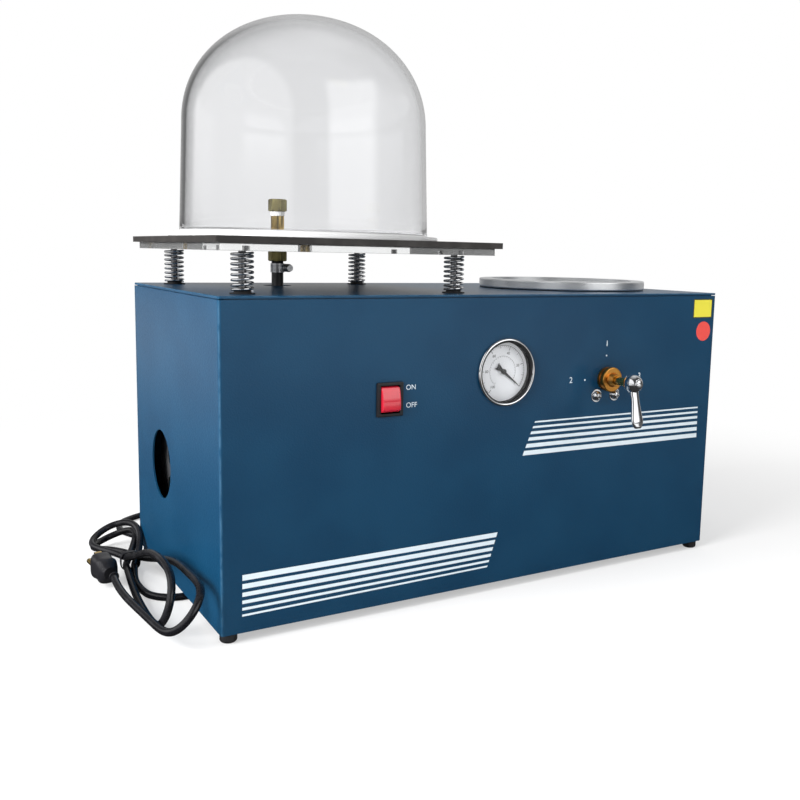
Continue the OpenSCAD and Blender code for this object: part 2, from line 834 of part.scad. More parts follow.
module gauge_case() {
    rim = -gauge_lens_t;
    color([0.12, 0.12, 0.13]) on_front(0, gauge_axis_z) translate([0, 0, -gauge_case_depth])
        difference() {
            cylinder(d = gauge_case_d, h = gauge_case_depth + rim);
            translate([0, 0, gauge_case_wall])
                cylinder(d = gauge_case_d - 2 * gauge_case_wall, h = gauge_case_depth);
            translate([0, 0, -cut]) cylinder(d = barb_d + 2 * touch, h = gauge_case_wall + 2 * cut);
        }
}

module gauge_bezel() {
    r = gauge_d / 2;
    lip = r - 5.75;
    round = gauge_proud / 2;
    color(chrome) on_front(0, gauge_axis_z) rotate_extrude($fn = 96) {
        translate([gauge_case_d / 2 + touch, 0])
            square([r - gauge_case_d / 2 - touch, round]);
        translate([lip, 0]) square([r - round - lip, gauge_proud]);
        translate([r - round, round]) circle(round, $fn = 32);
    }
}

module gauge_lens() {
    color([0.9, 0.95, 0.95, 0.35]) on_front(0, gauge_axis_z) translate([0, 0, -gauge_lens_t])
        cylinder(d = gauge_case_d, h = gauge_lens_t);
}

module gauge_dial() {
    color([0.93, 0.93, 0.92]) on_front(0, gauge_axis_z)
        translate([0, 0, -gauge_dial_depth - gauge_dial_t])
            ring(gauge_case_d - 2 * gauge_case_wall - 2 * touch, 3, gauge_dial_t);
}

module gauge_needle() {
    needle_t = 0.5;
    arbor_d = 1.6;
    hub_h = 1.6;
    tail = 9;
    color([0.06, 0.06, 0.07]) on_front(0, gauge_axis_z) {
        translate([0, 0, -gauge_dial_depth + 1]) {
            cylinder(d = 5, h = hub_h, $fn = 32);
            rotate([0, 0, gauge_rest_angle]) linear_extrude(needle_t) {
                polygon([[-3, -1.6], [2, -1.3], [needle_len, -0.25],
                    [needle_len, 0.25], [2, 1.3], [-3, 1.6]]);
                polygon([[-2, -1.4], [-2, 1.4], [-tail, 3.2], [-tail + 1.5, 0], [-tail, -3.2]]);
            }
        }
        translate([0, 0, -gauge_dial_depth - 12]) cylinder(d = arbor_d, h = 13.5, $fn = 24);
    }
}

// Movement block with the arbor's bearing, and the curved pressure tube that drives it
module gauge_movement() {
    block_w = 14;
    block_d = 9;
    tube_r = 19;
    arbor_d = 1.6;
    back = -gauge_case_depth + gauge_case_wall;
    block_z = -gauge_dial_depth - gauge_dial_t - block_d - 2;
    color(brass) on_front(0, gauge_axis_z) difference() {
        union() {
            translate([-block_w / 2, -block_w / 2, block_z]) cube([block_w, block_w, block_d]);
            translate([-5, -tube_r - 3, back]) cube([10, 10, block_z + block_d - back]);
            translate([-3, -tube_r + 4, block_z]) cube([6, 12, 4]);
            translate([0, 0, block_z + 2]) rotate([0, 0, -95])
                rotate_extrude(angle = 250) translate([tube_r, 0]) square([2.5, 6]);
        }
        translate([0, 0, block_z - cut])
            cylinder(d = arbor_d + 2 * running, h = block_d + 2 * cut, $fn = 24);
    }
}

// Brass tee on the back of the gauge, between the pump's hose and the valve's hose
module gauge_tee() {
    color(brass) on_front(0, gauge_axis_z) {
        translate([0, 0, -tee_depth]) cylinder(d = barb_d, h = tee_depth - gauge_case_depth + gauge_case_wall);
        translate([0, 0, -gauge_case_depth - 6]) hexagon(14, 6);
        translate([0, 0, -tee_depth]) rotate([0, 90, 0]) {
            translate([0, 0, -8]) cylinder(d = 13, h = 16);
            translate([0, 0, -tee_half]) cylinder(d = barb_d, h = 2 * tee_half);
        }
    }
}

// ---------------------------------------------------------------- switch

module switch_frame() {
    slot_w = rocker_w + 2 * rocker_gap;
    color(plastic) on_front(switch_x, switch_axis_z) difference() {
        union() {
            for (y = [-8, 0, 8]) translate([-3.15, y - 0.4, -switch_body_depth - 9])
                cube([6.3, 0.8, 10]);
            soft_slab(switch_w, switch_h, switch_bezel_t, 1.5, 0.8);
            translate([-switch_body_w / 2, -switch_body_h / 2, -switch_body_depth])
                cube([switch_body_w, switch_body_h, switch_body_depth]);
        }
        translate([-slot_w / 2, -switch_slot_h / 2, -switch_body_depth + 6])
            cube([slot_w, switch_slot_h, switch_body_depth]);
        translate([0, 0, rocker_pivot]) rotate([0, 90, 0])
            cylinder(d = rocker_pin_d + 2 * running, h = slot_w + 2 * rocker_pin_len, center = true, $fn = 32);
    }
}

// Rocker with its upper half pressed in, about a pin below its face
module switch_rocker() {
    corner_a = 38;
    low_a = 7;
    face_dip = 1.4;
    rise = rocker_r * sin(corner_a);
    reach = rocker_r * cos(corner_a);
    arc = [for (i = [0:4]) let (a = low_a + (corner_a - low_a) * i / 4)
        [rocker_r * cos(a), rocker_r * sin(a)]];
    color([0.80, 0.10, 0.10]) on_front(switch_x, switch_axis_z) translate([0, 0, rocker_pivot])
        rotate([-rocker_swing / 2, 0, 0]) {
            rotate([90, 0, 90]) translate([0, 0, -rocker_w / 2]) linear_extrude(rocker_w)
                polygon(concat(
                    arc,
                    [[0, rise - face_dip]],
                    [for (i = [4:-1:0]) [-arc[i].x, arc[i].y]],
                    [[-6, -3], [6, -3]]
                ));
            rotate([0, 90, 0]) cylinder(d = rocker_pin_d,
                h = rocker_w + 2 * rocker_gap + 2 * rocker_pin_len - 2 * touch, center = true, $fn = 32);
        }
}

// ---------------------------------------------------------------- valve

module valve_fixings() {
    for (s = [-1, 1]) on_front(valve_x + s * fixing_dx, valve_axis_z + fixing_dz) children();
}

// Four-port body: table at the left, chamber at the right, pump below, open air above
module valve_body() {
    half = valve_block / 2;
    mid = -sheet_t - bracket_t - half;
    color(brass) on_front(valve_x, valve_axis_z) difference() {
        union() {
            translate([0, 0, mid]) cube([valve_block, valve_block, valve_block], center = true);
            translate([0, 0, mid + half]) cylinder(d = valve_neck_d, h = sheet_t + bracket_t + valve_neck_h);
            for (a = [0, 90, 180, 270]) translate([0, 0, mid]) rotate([0, 0, a]) rotate([0, 90, 0])
                translate([0, 0, half]) cylinder(d = barb_d, h = 14);
        }
        translate([0, 0, mid - half + 3 - near])
            cylinder(d = plug_turn_d + 2 * running, h = plug_turn_len + near + touch);
        translate([0, 0, mid]) cylinder(d = spindle_d + 2 * running, h = valve_block + 20);
        for (a = [0, 90]) translate([0, 0, mid]) rotate([0, 0, a]) rotate([0, 90, 0])
            cylinder(d = nozzle_bore, h = 2 * (half + 14 + cut), center = true, $fn = 32);
    }
}

module valve_nut() {
    r = valve_nut_d / 2;
    groove = 1.6;
    edge = 1;
    color([0.85, 0.50, 0.16]) on_front(valve_x, valve_axis_z) difference() {
        rotate_extrude() {
            polygon([[0, valve_nut_h - near], [7, valve_nut_h - near], [7, valve_nut_h],
                [5.2, valve_nut_h + nut_boss_h], [0, valve_nut_h + nut_boss_h]]);
            square([r - edge, valve_nut_h]);
            translate([0, edge]) square([r - 0.4, 3.4 - edge]);
            translate([0, 4.6 + edge]) square([r, valve_nut_h - 4.6 - 2 * edge]);
            translate([r - edge, valve_nut_h - edge]) circle(edge, $fn = 24);
            translate([r - edge, 4.6 + edge]) circle(edge, $fn = 24);
            translate([r - edge - 0.4, edge]) circle(edge, $fn = 24);
        }
        translate([0, 0, -cut]) cylinder(d = valve_neck_d + 2 * touch, h = valve_neck_h + cut + touch);
        translate([0, 0, -cut])
            cylinder(d = spindle_d + 2 * near, h = valve_nut_h + nut_boss_h + 2 * cut);
    }
}

// Plug with an L-shaped way through it, and the stem that carries the lever
module valve_spindle() {
    mid = -sheet_t - bracket_t - valve_block / 2;
    plug_back = mid - valve_block / 2 + 3;
    color([0.82, 0.56, 0.24]) on_front(valve_x, valve_axis_z) difference() {
        union() {
            translate([0, 0, plug_back]) cylinder(d = plug_turn_d, h = plug_turn_len);
            translate([0, 0, plug_back]) cylinder(d = spindle_d, h = lever_reach + 4 - plug_back);
        }
        translate([0, 0, mid]) rotate([0, 90, 0]) cylinder(d = nozzle_bore, h = plug_turn_d, $fn = 32);
        translate([0, 0, mid]) rotate([90, 0, 0]) cylinder(d = nozzle_bore, h = plug_turn_d, $fn = 32);
    }
}

// Lever that hangs down: a ball-like hub with a low round cap, and a flat arm that leans
// outwards, widens and ends in a blunt tip
module valve_lever() {
    neck = 4.8;
    tip = 6.9;
    wide_y = -lever_len + 7.5;
    color(chrome) on_front(valve_x, valve_axis_z) difference() {
        union() {
            translate([0, 0, lever_reach]) intersection() {
                sphere(d = hub_d, $fn = 64);
                translate([0, 0, -hub_depth / 2]) cylinder(d = hub_d + cut, h = hub_depth);
            }
            translate([0, 0, lever_reach + hub_depth / 2 - near])
                cylinder(d1 = hub_cap_d, d2 = hub_cap_d - 2 * hub_cap_h, h = near + hub_cap_h);
            translate([0, 0, lever_reach]) rotate([-lever_lean, 0, 0])
                translate([0, 0, -arm_t / 2]) linear_extrude(arm_t)
                    polygon([[-neck, -5], [-neck, -15], [-neck - 0.6, -22], [-tip, wide_y],
                        [-tip + 0.7, wide_y - 3.5], [-3.8, -lever_len], [3.8, -lever_len],
                        [tip - 0.7, wide_y - 3.5], [tip, wide_y], [neck + 0.6, -22],
                        [neck, -15], [neck, -5]]);
        }
        translate([0, 0, lever_reach - 20]) cylinder(d = spindle_d + 2 * touch, h = 24 + touch);
    }
}

module valve_bracket() {
    color(steel) on_front(valve_x, valve_axis_z) difference() {
        translate([-valve_block / 2 - 4, fixing_dz - 8, -sheet_t - bracket_t])
            cube([valve_block + 8, valve_block / 2 - fixing_dz + 8, bracket_t]);
        translate([0, 0, -sheet_t - bracket_t - cut])
            cylinder(d = valve_neck_d + 2 * near, h = bracket_t + 2 * cut);
        for (s = [-1, 1]) translate([s * fixing_dx, fixing_dz, -sheet_t - bracket_t - cut])
            cylinder(d = screw_d + 2 * touch, h = bracket_t + 2 * cut, $fn = 24);
    }
}

module valve_screws() {
    washer_d = 12.5;
    washer_t = 0.8;
    head_h = 4.5;
    head_d = 9.4;
    color(chrome) valve_fixings() {
        difference() {
            cylinder(d = washer_d, h = washer_t);
            translate([0, 0, -cut]) cylinder(d = screw_d + 2 * touch, h = washer_t + 2 * cut, $fn = 24);
        }
        translate([0, 0, washer_t]) pan_screw(screw_d, washer_t + sheet_t + bracket_t - touch, head_d, head_h);
    }
}

// ---------------------------------------------------------------- pump

module isolator_places() {
    for (x = [oil_x0 + rail_inset + isolator_d, motor_x1 - isolator_d], s = [-1, 1])
        translate([x, pump_y + s * isolator_dy, 0]) children();
}

module pump_isolators() {
    color(rubber) isolator_places() translate([0, 0, cab_z0 + base_t])
        cylinder(d = isolator_d, h = rail_z0 - cab_z0 - base_t, $fn = 32);
}

module pump_rail() {
    color([0.25, 0.26, 0.27]) {
        translate([oil_x0 + rail_inset, pump_y - rail_w / 2, rail_z0])
            cube([motor_x1 - oil_x0 - rail_inset - rail_past, rail_w, rail_t]);
        for (x = [head_x1 + saddle_inset, motor_x1 - saddle_inset - saddle_t]) difference() {
            translate([x, pump_y - saddle_d / 2, rail_z1 - touch]) cube([saddle_t, saddle_d, saddle_h]);
            along_x(x - cut, pump_y, motor_z)
                cylinder(r = motor_r + near / 3, h = saddle_t + 2 * cut, $fn = 96);
        }
    }
}

module oil_case() {
    h = oil_z1 - rail_z1;
    color([0.30, 0.31, 0.33]) translate([oil_x0, pump_y, rail_z1]) difference() {
        rotate([90, 0, 90]) linear_extrude(oil_len) translate([0, h / 2]) round_rect(oil_w, h, 12);
        translate([oil_wall, 0, 0]) rotate([90, 0, 90]) linear_extrude(oil_len)
            translate([0, h / 2]) round_rect(oil_w - 2 * oil_wall, h - 2 * oil_wall, 8);
        translate([-cut, 0, glass_z - rail_z1]) rotate([0, 90, 0])
            cylinder(d = 22 + 2 * touch, h = oil_wall + 2 * cut);
        translate([-cut, 0, drain_z - rail_z1]) rotate([0, 90, 0])
            cylinder(d = 10 + 2 * touch, h = oil_wall + 2 * cut, $fn = 32);
        translate([oil_len / 2, 0, h - oil_wall - cut])
            cylinder(d = 20 + 2 * touch, h = oil_wall + 2 * cut);
    }
}

module sight_glass() {
    color([0.85, 0.85, 0.6, 0.5]) along_x(oil_x0 - 2, pump_y, glass_z)
        cylinder(d = 22, h = oil_wall + 2);
}

// Bezel of the sight glass, drain plug, filler cap and exhaust
module pump_fittings() {
    color(brass) {
        along_x(oil_x0 - 4, pump_y, glass_z) ring(30, 22 + 2 * touch, 4);
        along_x(oil_x0, pump_y, drain_z) {
            cylinder(d = 10, h = oil_wall);
            translate([0, 0, -6]) hexagon(14, 6);
        }
        translate([oil_x0 + oil_len / 2, pump_y, oil_z1]) {
            translate([0, 0, -oil_wall]) cylinder(d = 20, h = oil_wall);
            cylinder(d = 34, h = 14);
            translate([0, 0, 14]) cylinder(d1 = 34, d2 = 26, h = 6);
        }
    }
}

module pump_head() {
    h = oil_z1 - rail_z1;
    color([0.34, 0.35, 0.37]) difference() {
        union() {
            translate([oil_x1, pump_y, rail_z1]) rotate([90, 0, 90]) linear_extrude(head_t)
                translate([0, h / 2]) round_rect(oil_w, h, 12);
            along_x(oil_x1 - vane_end - vane_wall, pump_y, motor_z)
                cylinder(d = vane_bore_d + 26, h = vane_end + vane_wall + cut);
            translate([inlet_x, pump_y, oil_z1]) cylinder(d = 18, h = 5);
            translate([inlet_x, pump_y, oil_z1]) cylinder(d = barb_d, h = inlet_top - oil_z1);
        }
        along_x(oil_x1 - vane_end - 2, pump_y, motor_z) cylinder(d = vane_bore_d, h = vane_end - 2);
        along_x(oil_x1 - 10, pump_y, motor_z) cylinder(d = shaft_d + 2 * running, h = head_t + 20);
        translate([inlet_x, pump_y, oil_z1 - 10]) cylinder(d = nozzle_bore, h = 40, $fn = 32);
    }
}

module motor_shell() {
    fins = 20;
    fin_h = 5;
    color([0.30, 0.31, 0.33]) along_x(head_x1, pump_y, motor_z) {
        ring(2 * (motor_r - fin_h), 2 * (motor_r - fin_h - motor_wall), motor_len);
        difference() {
            ring(2 * (motor_r - fin_h) - 2 * touch, rotor_d + 1, motor_len - 60);
            translate([0, 0, -cut]) ring(200, 2 * (motor_r - fin_h - motor_wall), 300);
            translate([0, 0, -cut]) cylinder(r = motor_r, h = 31);
        }
        translate([0, 0, 30]) ring(2 * (motor_r - fin_h - motor_wall), rotor_d + 1, motor_len - 60);
        for (i = [0:fins - 1]) rotate([0, 0, 360 * i / fins])
            translate([motor_r - fin_h - 0.5, -1, 12]) cube([fin_h + 0.5, 2, motor_len - 24]);
    }
}

module motor_ends() {
    inner = 2 * (motor_r - 5 - motor_wall) - 2 * touch;
    color([0.34, 0.35, 0.37]) for (x = [head_x1, motor_x1 - end_t - bearing_w / 2]) difference() {
        along_x(x, pump_y, motor_z) cylinder(d = inner, h = end_t + bearing_w / 2);
        along_x(x - cut, pump_y, motor_z) cylinder(d = bearing_d + 2 * touch, h = 30);
    }
}

module motor_bearings() {
    color(steel) for (x = [head_x1 + 1, motor_x1 - bearing_w - 1])
        along_x(x, pump_y, motor_z) ring(bearing_d, shaft_d + 2 * running, bearing_w);
}

// Shaft with the motor's rotor in the middle and the pump's rotor at its left end
module motor_shaft() {
    color([0.6, 0.6, 0.62]) {
        along_x(oil_x1 - vane_end, pump_y, motor_z)
            cylinder(d = shaft_d, h = motor_x1 + fan_gap + fan_w - oil_x1 + vane_end);
        along_x(oil_x1 - vane_end, pump_y, motor_z) cylinder(d = vane_rotor_d, h = vane_rotor_len);
        along_x(head_x1 + rotor_end, pump_y, motor_z)
            cylinder(d = rotor_d, h = motor_len - 2 * rotor_end);
    }
}

module motor_fan() {
    blades = 7;
    color(plastic) along_x(motor_x1 + fan_gap, pump_y, motor_z) difference() {
        union() {
            cylinder(d = 30, h = fan_w);
            for (i = [0:blades - 1]) rotate([0, 0, 360 * i / blades])
                translate([0, 0, fan_w / 2]) rotate([35, 0, 0]) translate([10, -1, -8])
                    cube([fan_r - 12, 2, 16]);
        }
        translate([0, 0, -cut]) cylinder(d = shaft_d + touch, h = fan_w + 2 * cut);
    }
}

module fan_cowl() {
    r = motor_r - 5;
    slots = 12;
    color([0.22, 0.23, 0.25]) along_x(motor_x1 - cowl_grip, pump_y, motor_z) difference() {
        cylinder(r = r + cowl_t + touch, h = cowl_len + cowl_grip);
        translate([0, 0, -cut]) cylinder(r = r + touch, h = cowl_len + cowl_grip - cowl_t + cut);
        for (i = [0:slots - 1]) rotate([0, 0, 360 * i / slots]) translate([16, -2.5, cowl_len])
            cube([26, 5, 20]);
        for (i = [0:19]) rotate([0, 0, 18 * i]) translate([r - 4, -1.3, -cut]) cube([12, 2.6, 5]);
    }
}

// Hoses inside the cabinet: table to valve, pump to tee, tee to valve, valve to chamber
barb_out = valve_block / 2 + 14;
valve_mid_y = front_y + sheet_t + bracket_t + valve_block / 2;
tee_y = front_y + tee_depth;
table_route = [
    [nozzle_x, nozzle_y, hose_foot - near],
    [nozzle_x, nozzle_y, hose_foot - 6],
    [nozzle_x, nozzle_y, hose_foot - 20],
    [-125, 30, 176],
    [-60, -10, 164],
    [0, -60, 150],
    [45, -105, 166],
    [valve_x - barb_out - 14, valve_mid_y, valve_axis_z],
    [valve_x - barb_out - 5, valve_mid_y, valve_axis_z],
    [valve_x - barb_out, valve_mid_y, valve_axis_z]
];
pump_route = [
    [inlet_x, pump_y, inlet_top],
    [inlet_x, pump_y, inlet_top + 5],
    [inlet_x, pump_y, inlet_top + 13],
    [-130, 10, 228],
    [-90, -60, 226],
    [-tee_half - 16, tee_y, gauge_axis_z],
    [-tee_half - 5, tee_y, gauge_axis_z],
    [-tee_half, tee_y, gauge_axis_z]
];
tee_route = [
    [tee_half, tee_y, gauge_axis_z],
    [tee_half + 5, tee_y, gauge_axis_z],
    [tee_half + 16, tee_y, gauge_axis_z],
    [72, -74, 168],
    [100, -92, 134],
    [valve_x, valve_mid_y, valve_axis_z - barb_out - 14],
    [valve_x, valve_mid_y, valve_axis_z - barb_out - 5],
    [valve_x, valve_mid_y, valve_axis_z - barb_out]
];
chamber_route = [
    [valve_x + barb_out, valve_mid_y, valve_axis_z],
    [valve_x + barb_out + 5, valve_mid_y, valve_axis_z],
    [valve_x + barb_out + 14, valve_mid_y, valve_axis_z],
    [212, -112, 172],
    [236, -105, 110],
    [224, -75, 58],
    [194, -40, 37],
    [168, -20, 39],
    [ring_x, ring_y, chamber_z0 - port_len - 14],
    [ring_x, ring_y, chamber_z0 - port_len - 5],
    [ring_x, ring_y, chamber_z0 - port_len]
];
module vacuum_hoses() {
    color(rubber) {
        tube(smooth_line(table_route, 4), hose_d / 2, 8, [1, 0, 0]);
        tube(smooth_line(pump_route, 4), hose_d / 2, 8, [1, 0, 0]);
        tube(smooth_line(tee_route, 4), hose_d / 2, 8, [0, 0, 1]);
        tube(smooth_line(chamber_route, 4), hose_d / 2, 8, [0, 0, 1]);
    }
}

// ---------------------------------------------------------------- cord

module strain_relief() {
    color(plastic) translate([gland_x, back_y, gland_z]) rotate([-90, 0, 0]) {
        translate([0, 0, -sheet_t - 6]) cylinder(d = gland_d, h = sheet_t + 6);
        cylinder(d = 21, h = 3);
        cylinder(d1 = 14, d2 = cord_d + 2.5, h = relief_len);
    }
}

// Hank: figure-of-eight loops beside the cabinet that cross at a tied waist. A loop is
// [direction, reach, half width, rise of its right side, sideways shift, squareness,
//  lift, bend of the rise, slant, lane where it starts, lane where it ends], and a lane is
// [steps to the side, layers up] in the waist
hank_x = left_x - 22;
hank_y = 78;
cord_r = cord_d / 2;
cord_rest = cord_r + 0.1;
waist_lift = 1.5;
lane_step = cord_d + 1.6;
layer_step = cord_d + 1.5;
loop_rings = 24;
loops = [
    [1, 69.5, 20.3, 15, -0.5, -0.02, 14, 1.15, -0.067, [0.5, 0], [-0.5, 1]],
    [-1, 177, 6.6, 46.4, 1.4, 0.073, 0, 1, 0.063, [-0.5, 1], [-0.5, 0]],
    [1, 83, 21.3, 14, 4.2, -0.024, 0.3, 1.2, -0.069, [-0.5, 0], [0.5, 1]],
    [-1, 215, 14, 33, -4.4, 0.13, 12, 1.05, -0.003, [0.5, 1], [-2.25, 1.1]]
];
last_ring = 22;
function loop_point(l, t) =
    let (
        s = sin(180 * t),
        w = (sin(360 * t) + l[5] * sin(1080 * t)) / (1 - l[5]),
        near_waist = 1 - s * s,
        k = t * t * (3 - 2 * t),
        place = (l[9] * (1 - k) + l[10] * k) * near_waist,
        along = l[0] * l[1] * s,
        raised = l[3] * (1 - pow(1 - s, 2)) * pow(max(0, (w + 1) / 2), l[7])
    )
    [
        hank_x + place.x * lane_step + l[4] * s * s + l[2] * w + l[8] * along,
        hank_y + along,
        cord_rest + place.y * layer_step + l[6] * s * s + waist_lift * near_waist + raised
    ];
function loop_line(l, rings) = [for (i = [0:rings - 1]) loop_point(l, i / loop_rings)];
hank_line = concat(
    loop_line(loops[0], loop_rings),
    loop_line(loops[1], loop_rings),
    loop_line(loops[2], loop_rings),
    loop_line(loops[3], last_ring + 1)
);

// Free stretch: from the strain relief down to the bench, round, under the cabinet, and
// out at the left into the hank
lead_points = [
    [gland_x, back_y + relief_len, gland_z],
    [gland_x, back_y + relief_len + 18, gland_z - 1],
    [gland_x - 2, back_y + relief_len + 41, gland_z - 12],
    [gland_x - 8, back_y + relief_len + 60, gland_z - 25],
    [gland_x - 22, back_y + relief_len + 75, cord_rest + 4],
    [gland_x - 44, back_y + relief_len + 77, cord_rest + 0.3],
    [gland_x - 64, back_y + relief_len + 61, cord_rest],
    [gland_x - 70, back_y + relief_len + 34, cord_rest],
    [gland_x - 60, back_y + relief_len + 7, cord_rest],
    [gland_x - 44, back_y + relief_len - 20, cord_rest],
    [gland_x - 33, 110, cord_rest],
    [gland_x - 29, 70, cord_rest],
    [gland_x - 29, 36, cord_rest],
    [-230, 10, cord_rest],
    [-234, -7, cord_rest],
    [-245.5, -18.5, cord_rest],
    [-261, -22.5, cord_rest],
    [-276.5, -18.5, cord_rest],
    [-288, -7, cord_rest],
    [-292, 10, cord_rest],
    [-292, 34, cord_rest],
    [-288, 57, cord_rest + 0.5],
    hank_line[0]
];
lead_line = smooth_line(lead_points, 3);

module cord_lead() {
    color(rubber) tube([for (i = [0:len(lead_line) - 2]) lead_line[i]], cord_r, 8, [1, 0, 0]);
}

module cord_hank() {
    color(rubber) tube(concat([lead_line[len(lead_line) - 2] * 0.1 + hank_line[0] * 0.9],
        [for (i = [1:len(hank_line) - 1]) hank_line[i]]), cord_r, 6, [1, 0, 0]);
}

// Length along a line, its sharpest bend and its least gap to itself
function length_of(p, i = 0, sum = 0) =
    i >= len(p) - 1 ? sum : length_of(p, i + 1, sum + norm(p[i + 1] - p[i]));
function bend_at(p, i) =
    let (a = p[i - 1], b = p[i], c = p[i + 1])
    norm(b - a) * norm(c - b) * norm(c - a) / max(0.0001, 2 * norm(cross(b - a, c - a)));
whole_cord = concat([for (i = [0:len(lead_line) - 2]) lead_line[i]], hank_line);
function part_way(a, b, f) = a + (b - a) * f;
dense_cord = [for (i = [0:len(whole_cord) - 2], f = [0, 0.25, 0.5, 0.75])
    part_way(whole_cord[i], whole_cord[i + 1], f)];
echo(cord_length = length_of(whole_cord) + relief_len);
echo(sharpest_hank_bend = min([for (i = [1:len(hank_line) - 2]) bend_at(hank_line, i)]));
echo(sharpest_lead_bend = min([for (i = [1:len(lead_line) - 2]) bend_at(lead_line, i)]));
echo(lowest_cord = min([for (p = lead_line) p.z]) - cord_r);
echo(least_cord_gap = min([for (i = [0:len(dense_cord) - 17], j = [i + 16:len(dense_cord) - 1])
    norm(dense_cord[i] - dense_cord[j])]) - cord_d);

module cord_tie() {
    tie_w = lane_step + cord_d + 2.4;
    tie_h = layer_step + cord_d + 2.2;
    tie_len = 5;
    tie_t = 0.8;
    color(plastic) translate([hank_x, hank_y + tie_len / 2, 0.1 + tie_h / 2 + tie_t])
        rotate([90, 0, 0]) linear_extrude(tie_len) difference() {
            round_rect(tie_w + 2 * tie_t, tie_h + 2 * tie_t, 4);
            round_rect(tie_w, tie_h, 3.4);
        }
}

// Moulded plug at the free end: two blades and an earth pin, pointing along the cord
plug_turn = 6;
plug_len = 38;
plug_relief = 12;
module at_plug() {
    translate(hank_line[len(hank_line) - 1]) rotate([0, 0, plug_turn]) rotate([-90, 0, 0])
        rotate([0, 0, 90]) children();
}

module plug_body() {
    plug_w = 24;
    plug_h = 19;
    color(rubber) at_plug() difference() {
        union() {
            translate([0, 0, -2]) cylinder(d1 = cord_d + 2.5, d2 = 12, h = plug_relief + 2);
            translate([0, 0, plug_relief - 1]) linear_extrude(plug_len - plug_relief + 1)
                round_rect(plug_w, plug_h, 6);
        }
        translate([0, 0, -2 - cut]) cylinder(d = cord_d + 2 * touch, h = plug_relief + cut);
        pin_places() translate([-0.75 - touch / 2, -3.2 - touch / 2, plug_len - 6 - touch])
            cube([1.5 + touch, 6.4 + touch, 8]);
        translate([0, 5.5, plug_len - 6 - touch]) cylinder(d = 4.8 + touch, h = 8, $fn = 32);
    }
}

module pin_places() {
    for (s = [-1, 1]) translate([s * 6.35, -2.5, 0]) children();
}

module plug_pins() {
    color(brass) at_plug() {
        pin_places() translate([-0.75, -3.2, plug_len - 6]) cube([1.5, 6.4, 23]);
        translate([0, 5.5, plug_len - 6]) {
            cylinder(d = 4.8, h = 22, $fn = 32);
            translate([0, 0, 22]) cylinder(d1 = 4.8, d2 = 3, h = 2, $fn = 32);
        }
    }
}

cabinet_wrap();
top_plate();
base_plate();
back_panel();
cabinet_screws();
rubber_feet();
table_plate();
table_pad();
guide_studs();
stud_nuts();
spring_seats();
spring_front_left();
spring_front_right();
spring_back_left();
spring_back_right();
bell_jar();
vacuum_nozzle();
nozzle_cap();
nozzle_nut();
hose_clamp();
table_hose();
casting_ring();
ring_gasket();
casting_chamber();
chamber_port();
ring_screws();
gauge_case();
gauge_bezel();
gauge_lens();
gauge_dial();
gauge_needle();
gauge_movement();
gauge_tee();
switch_frame();
switch_rocker();
valve_body();
valve_nut();
valve_spindle();
valve_lever();
valve_bracket();
valve_screws();
pump_isolators();
pump_rail();
oil_case();
sight_glass();
pump_fittings();
pump_head();
motor_shell();
motor_ends();
motor_bearings();
motor_shaft();
motor_fan();
fan_cowl();
vacuum_hoses();
strain_relief();
cord_lead();
cord_hank();
cord_tie();
plug_body();
plug_pins();
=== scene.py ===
"""Looks of a vacuum casting machine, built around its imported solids.

Sizes in the sections are millimetres in the machine's own frame: Z up, front towards -Y, and
the origin on the bench under the middle of the cabinet. piece() turns them into metres.
"""
import math

import bmesh
import bpy
import numpy as np
from mathutils import Matrix


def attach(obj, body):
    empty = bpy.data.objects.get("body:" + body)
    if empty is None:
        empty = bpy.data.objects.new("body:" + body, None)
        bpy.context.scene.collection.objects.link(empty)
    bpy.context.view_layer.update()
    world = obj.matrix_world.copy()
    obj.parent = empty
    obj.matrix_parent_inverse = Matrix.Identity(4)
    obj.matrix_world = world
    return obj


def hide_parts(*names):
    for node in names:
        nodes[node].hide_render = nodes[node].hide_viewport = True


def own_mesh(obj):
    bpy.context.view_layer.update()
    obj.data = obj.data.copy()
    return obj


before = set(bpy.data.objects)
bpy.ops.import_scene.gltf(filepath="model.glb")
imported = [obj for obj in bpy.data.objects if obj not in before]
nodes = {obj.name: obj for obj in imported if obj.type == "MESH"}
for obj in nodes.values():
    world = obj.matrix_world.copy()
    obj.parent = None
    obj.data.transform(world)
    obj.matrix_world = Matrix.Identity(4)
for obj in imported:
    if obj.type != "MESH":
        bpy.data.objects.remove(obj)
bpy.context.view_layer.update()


# ---------------------------------------------------------------- camera
# It stands to the left of the machine's front at the height of the sprung table, and looks a
# little down, so the left side, the front and a sliver of the top show.
turn, dip, lean = np.radians([31.09, 7.77, 1.23])
forward = np.array([math.sin(turn) * math.cos(dip), math.cos(turn) * math.cos(dip), -math.sin(dip)])
level = np.array([math.cos(turn), -math.sin(turn), 0.0])
upward = np.cross(level, forward)
right = math.cos(lean) * level + math.sin(lean) * upward
above = math.cos(lean) * upward - math.sin(lean) * level
lens = bpy.data.cameras.new("camera")
lens.lens = 40.92
lens.sensor_width = 36
lens.shift_x = -0.0416
lens.shift_y = -0.0291
camera = bpy.data.objects.new("camera", lens)
stand = np.eye(4)
stand[:3, :3] = np.stack([right, above, -forward], 1)
stand[:3, 3] = [-0.4761, -0.7945, 0.3095]
camera.matrix_world = Matrix(stand.tolist())
bpy.context.scene.collection.objects.link(camera)
bpy.context.scene.camera = camera
bpy.context.scene.view_settings.view_transform = "Standard"


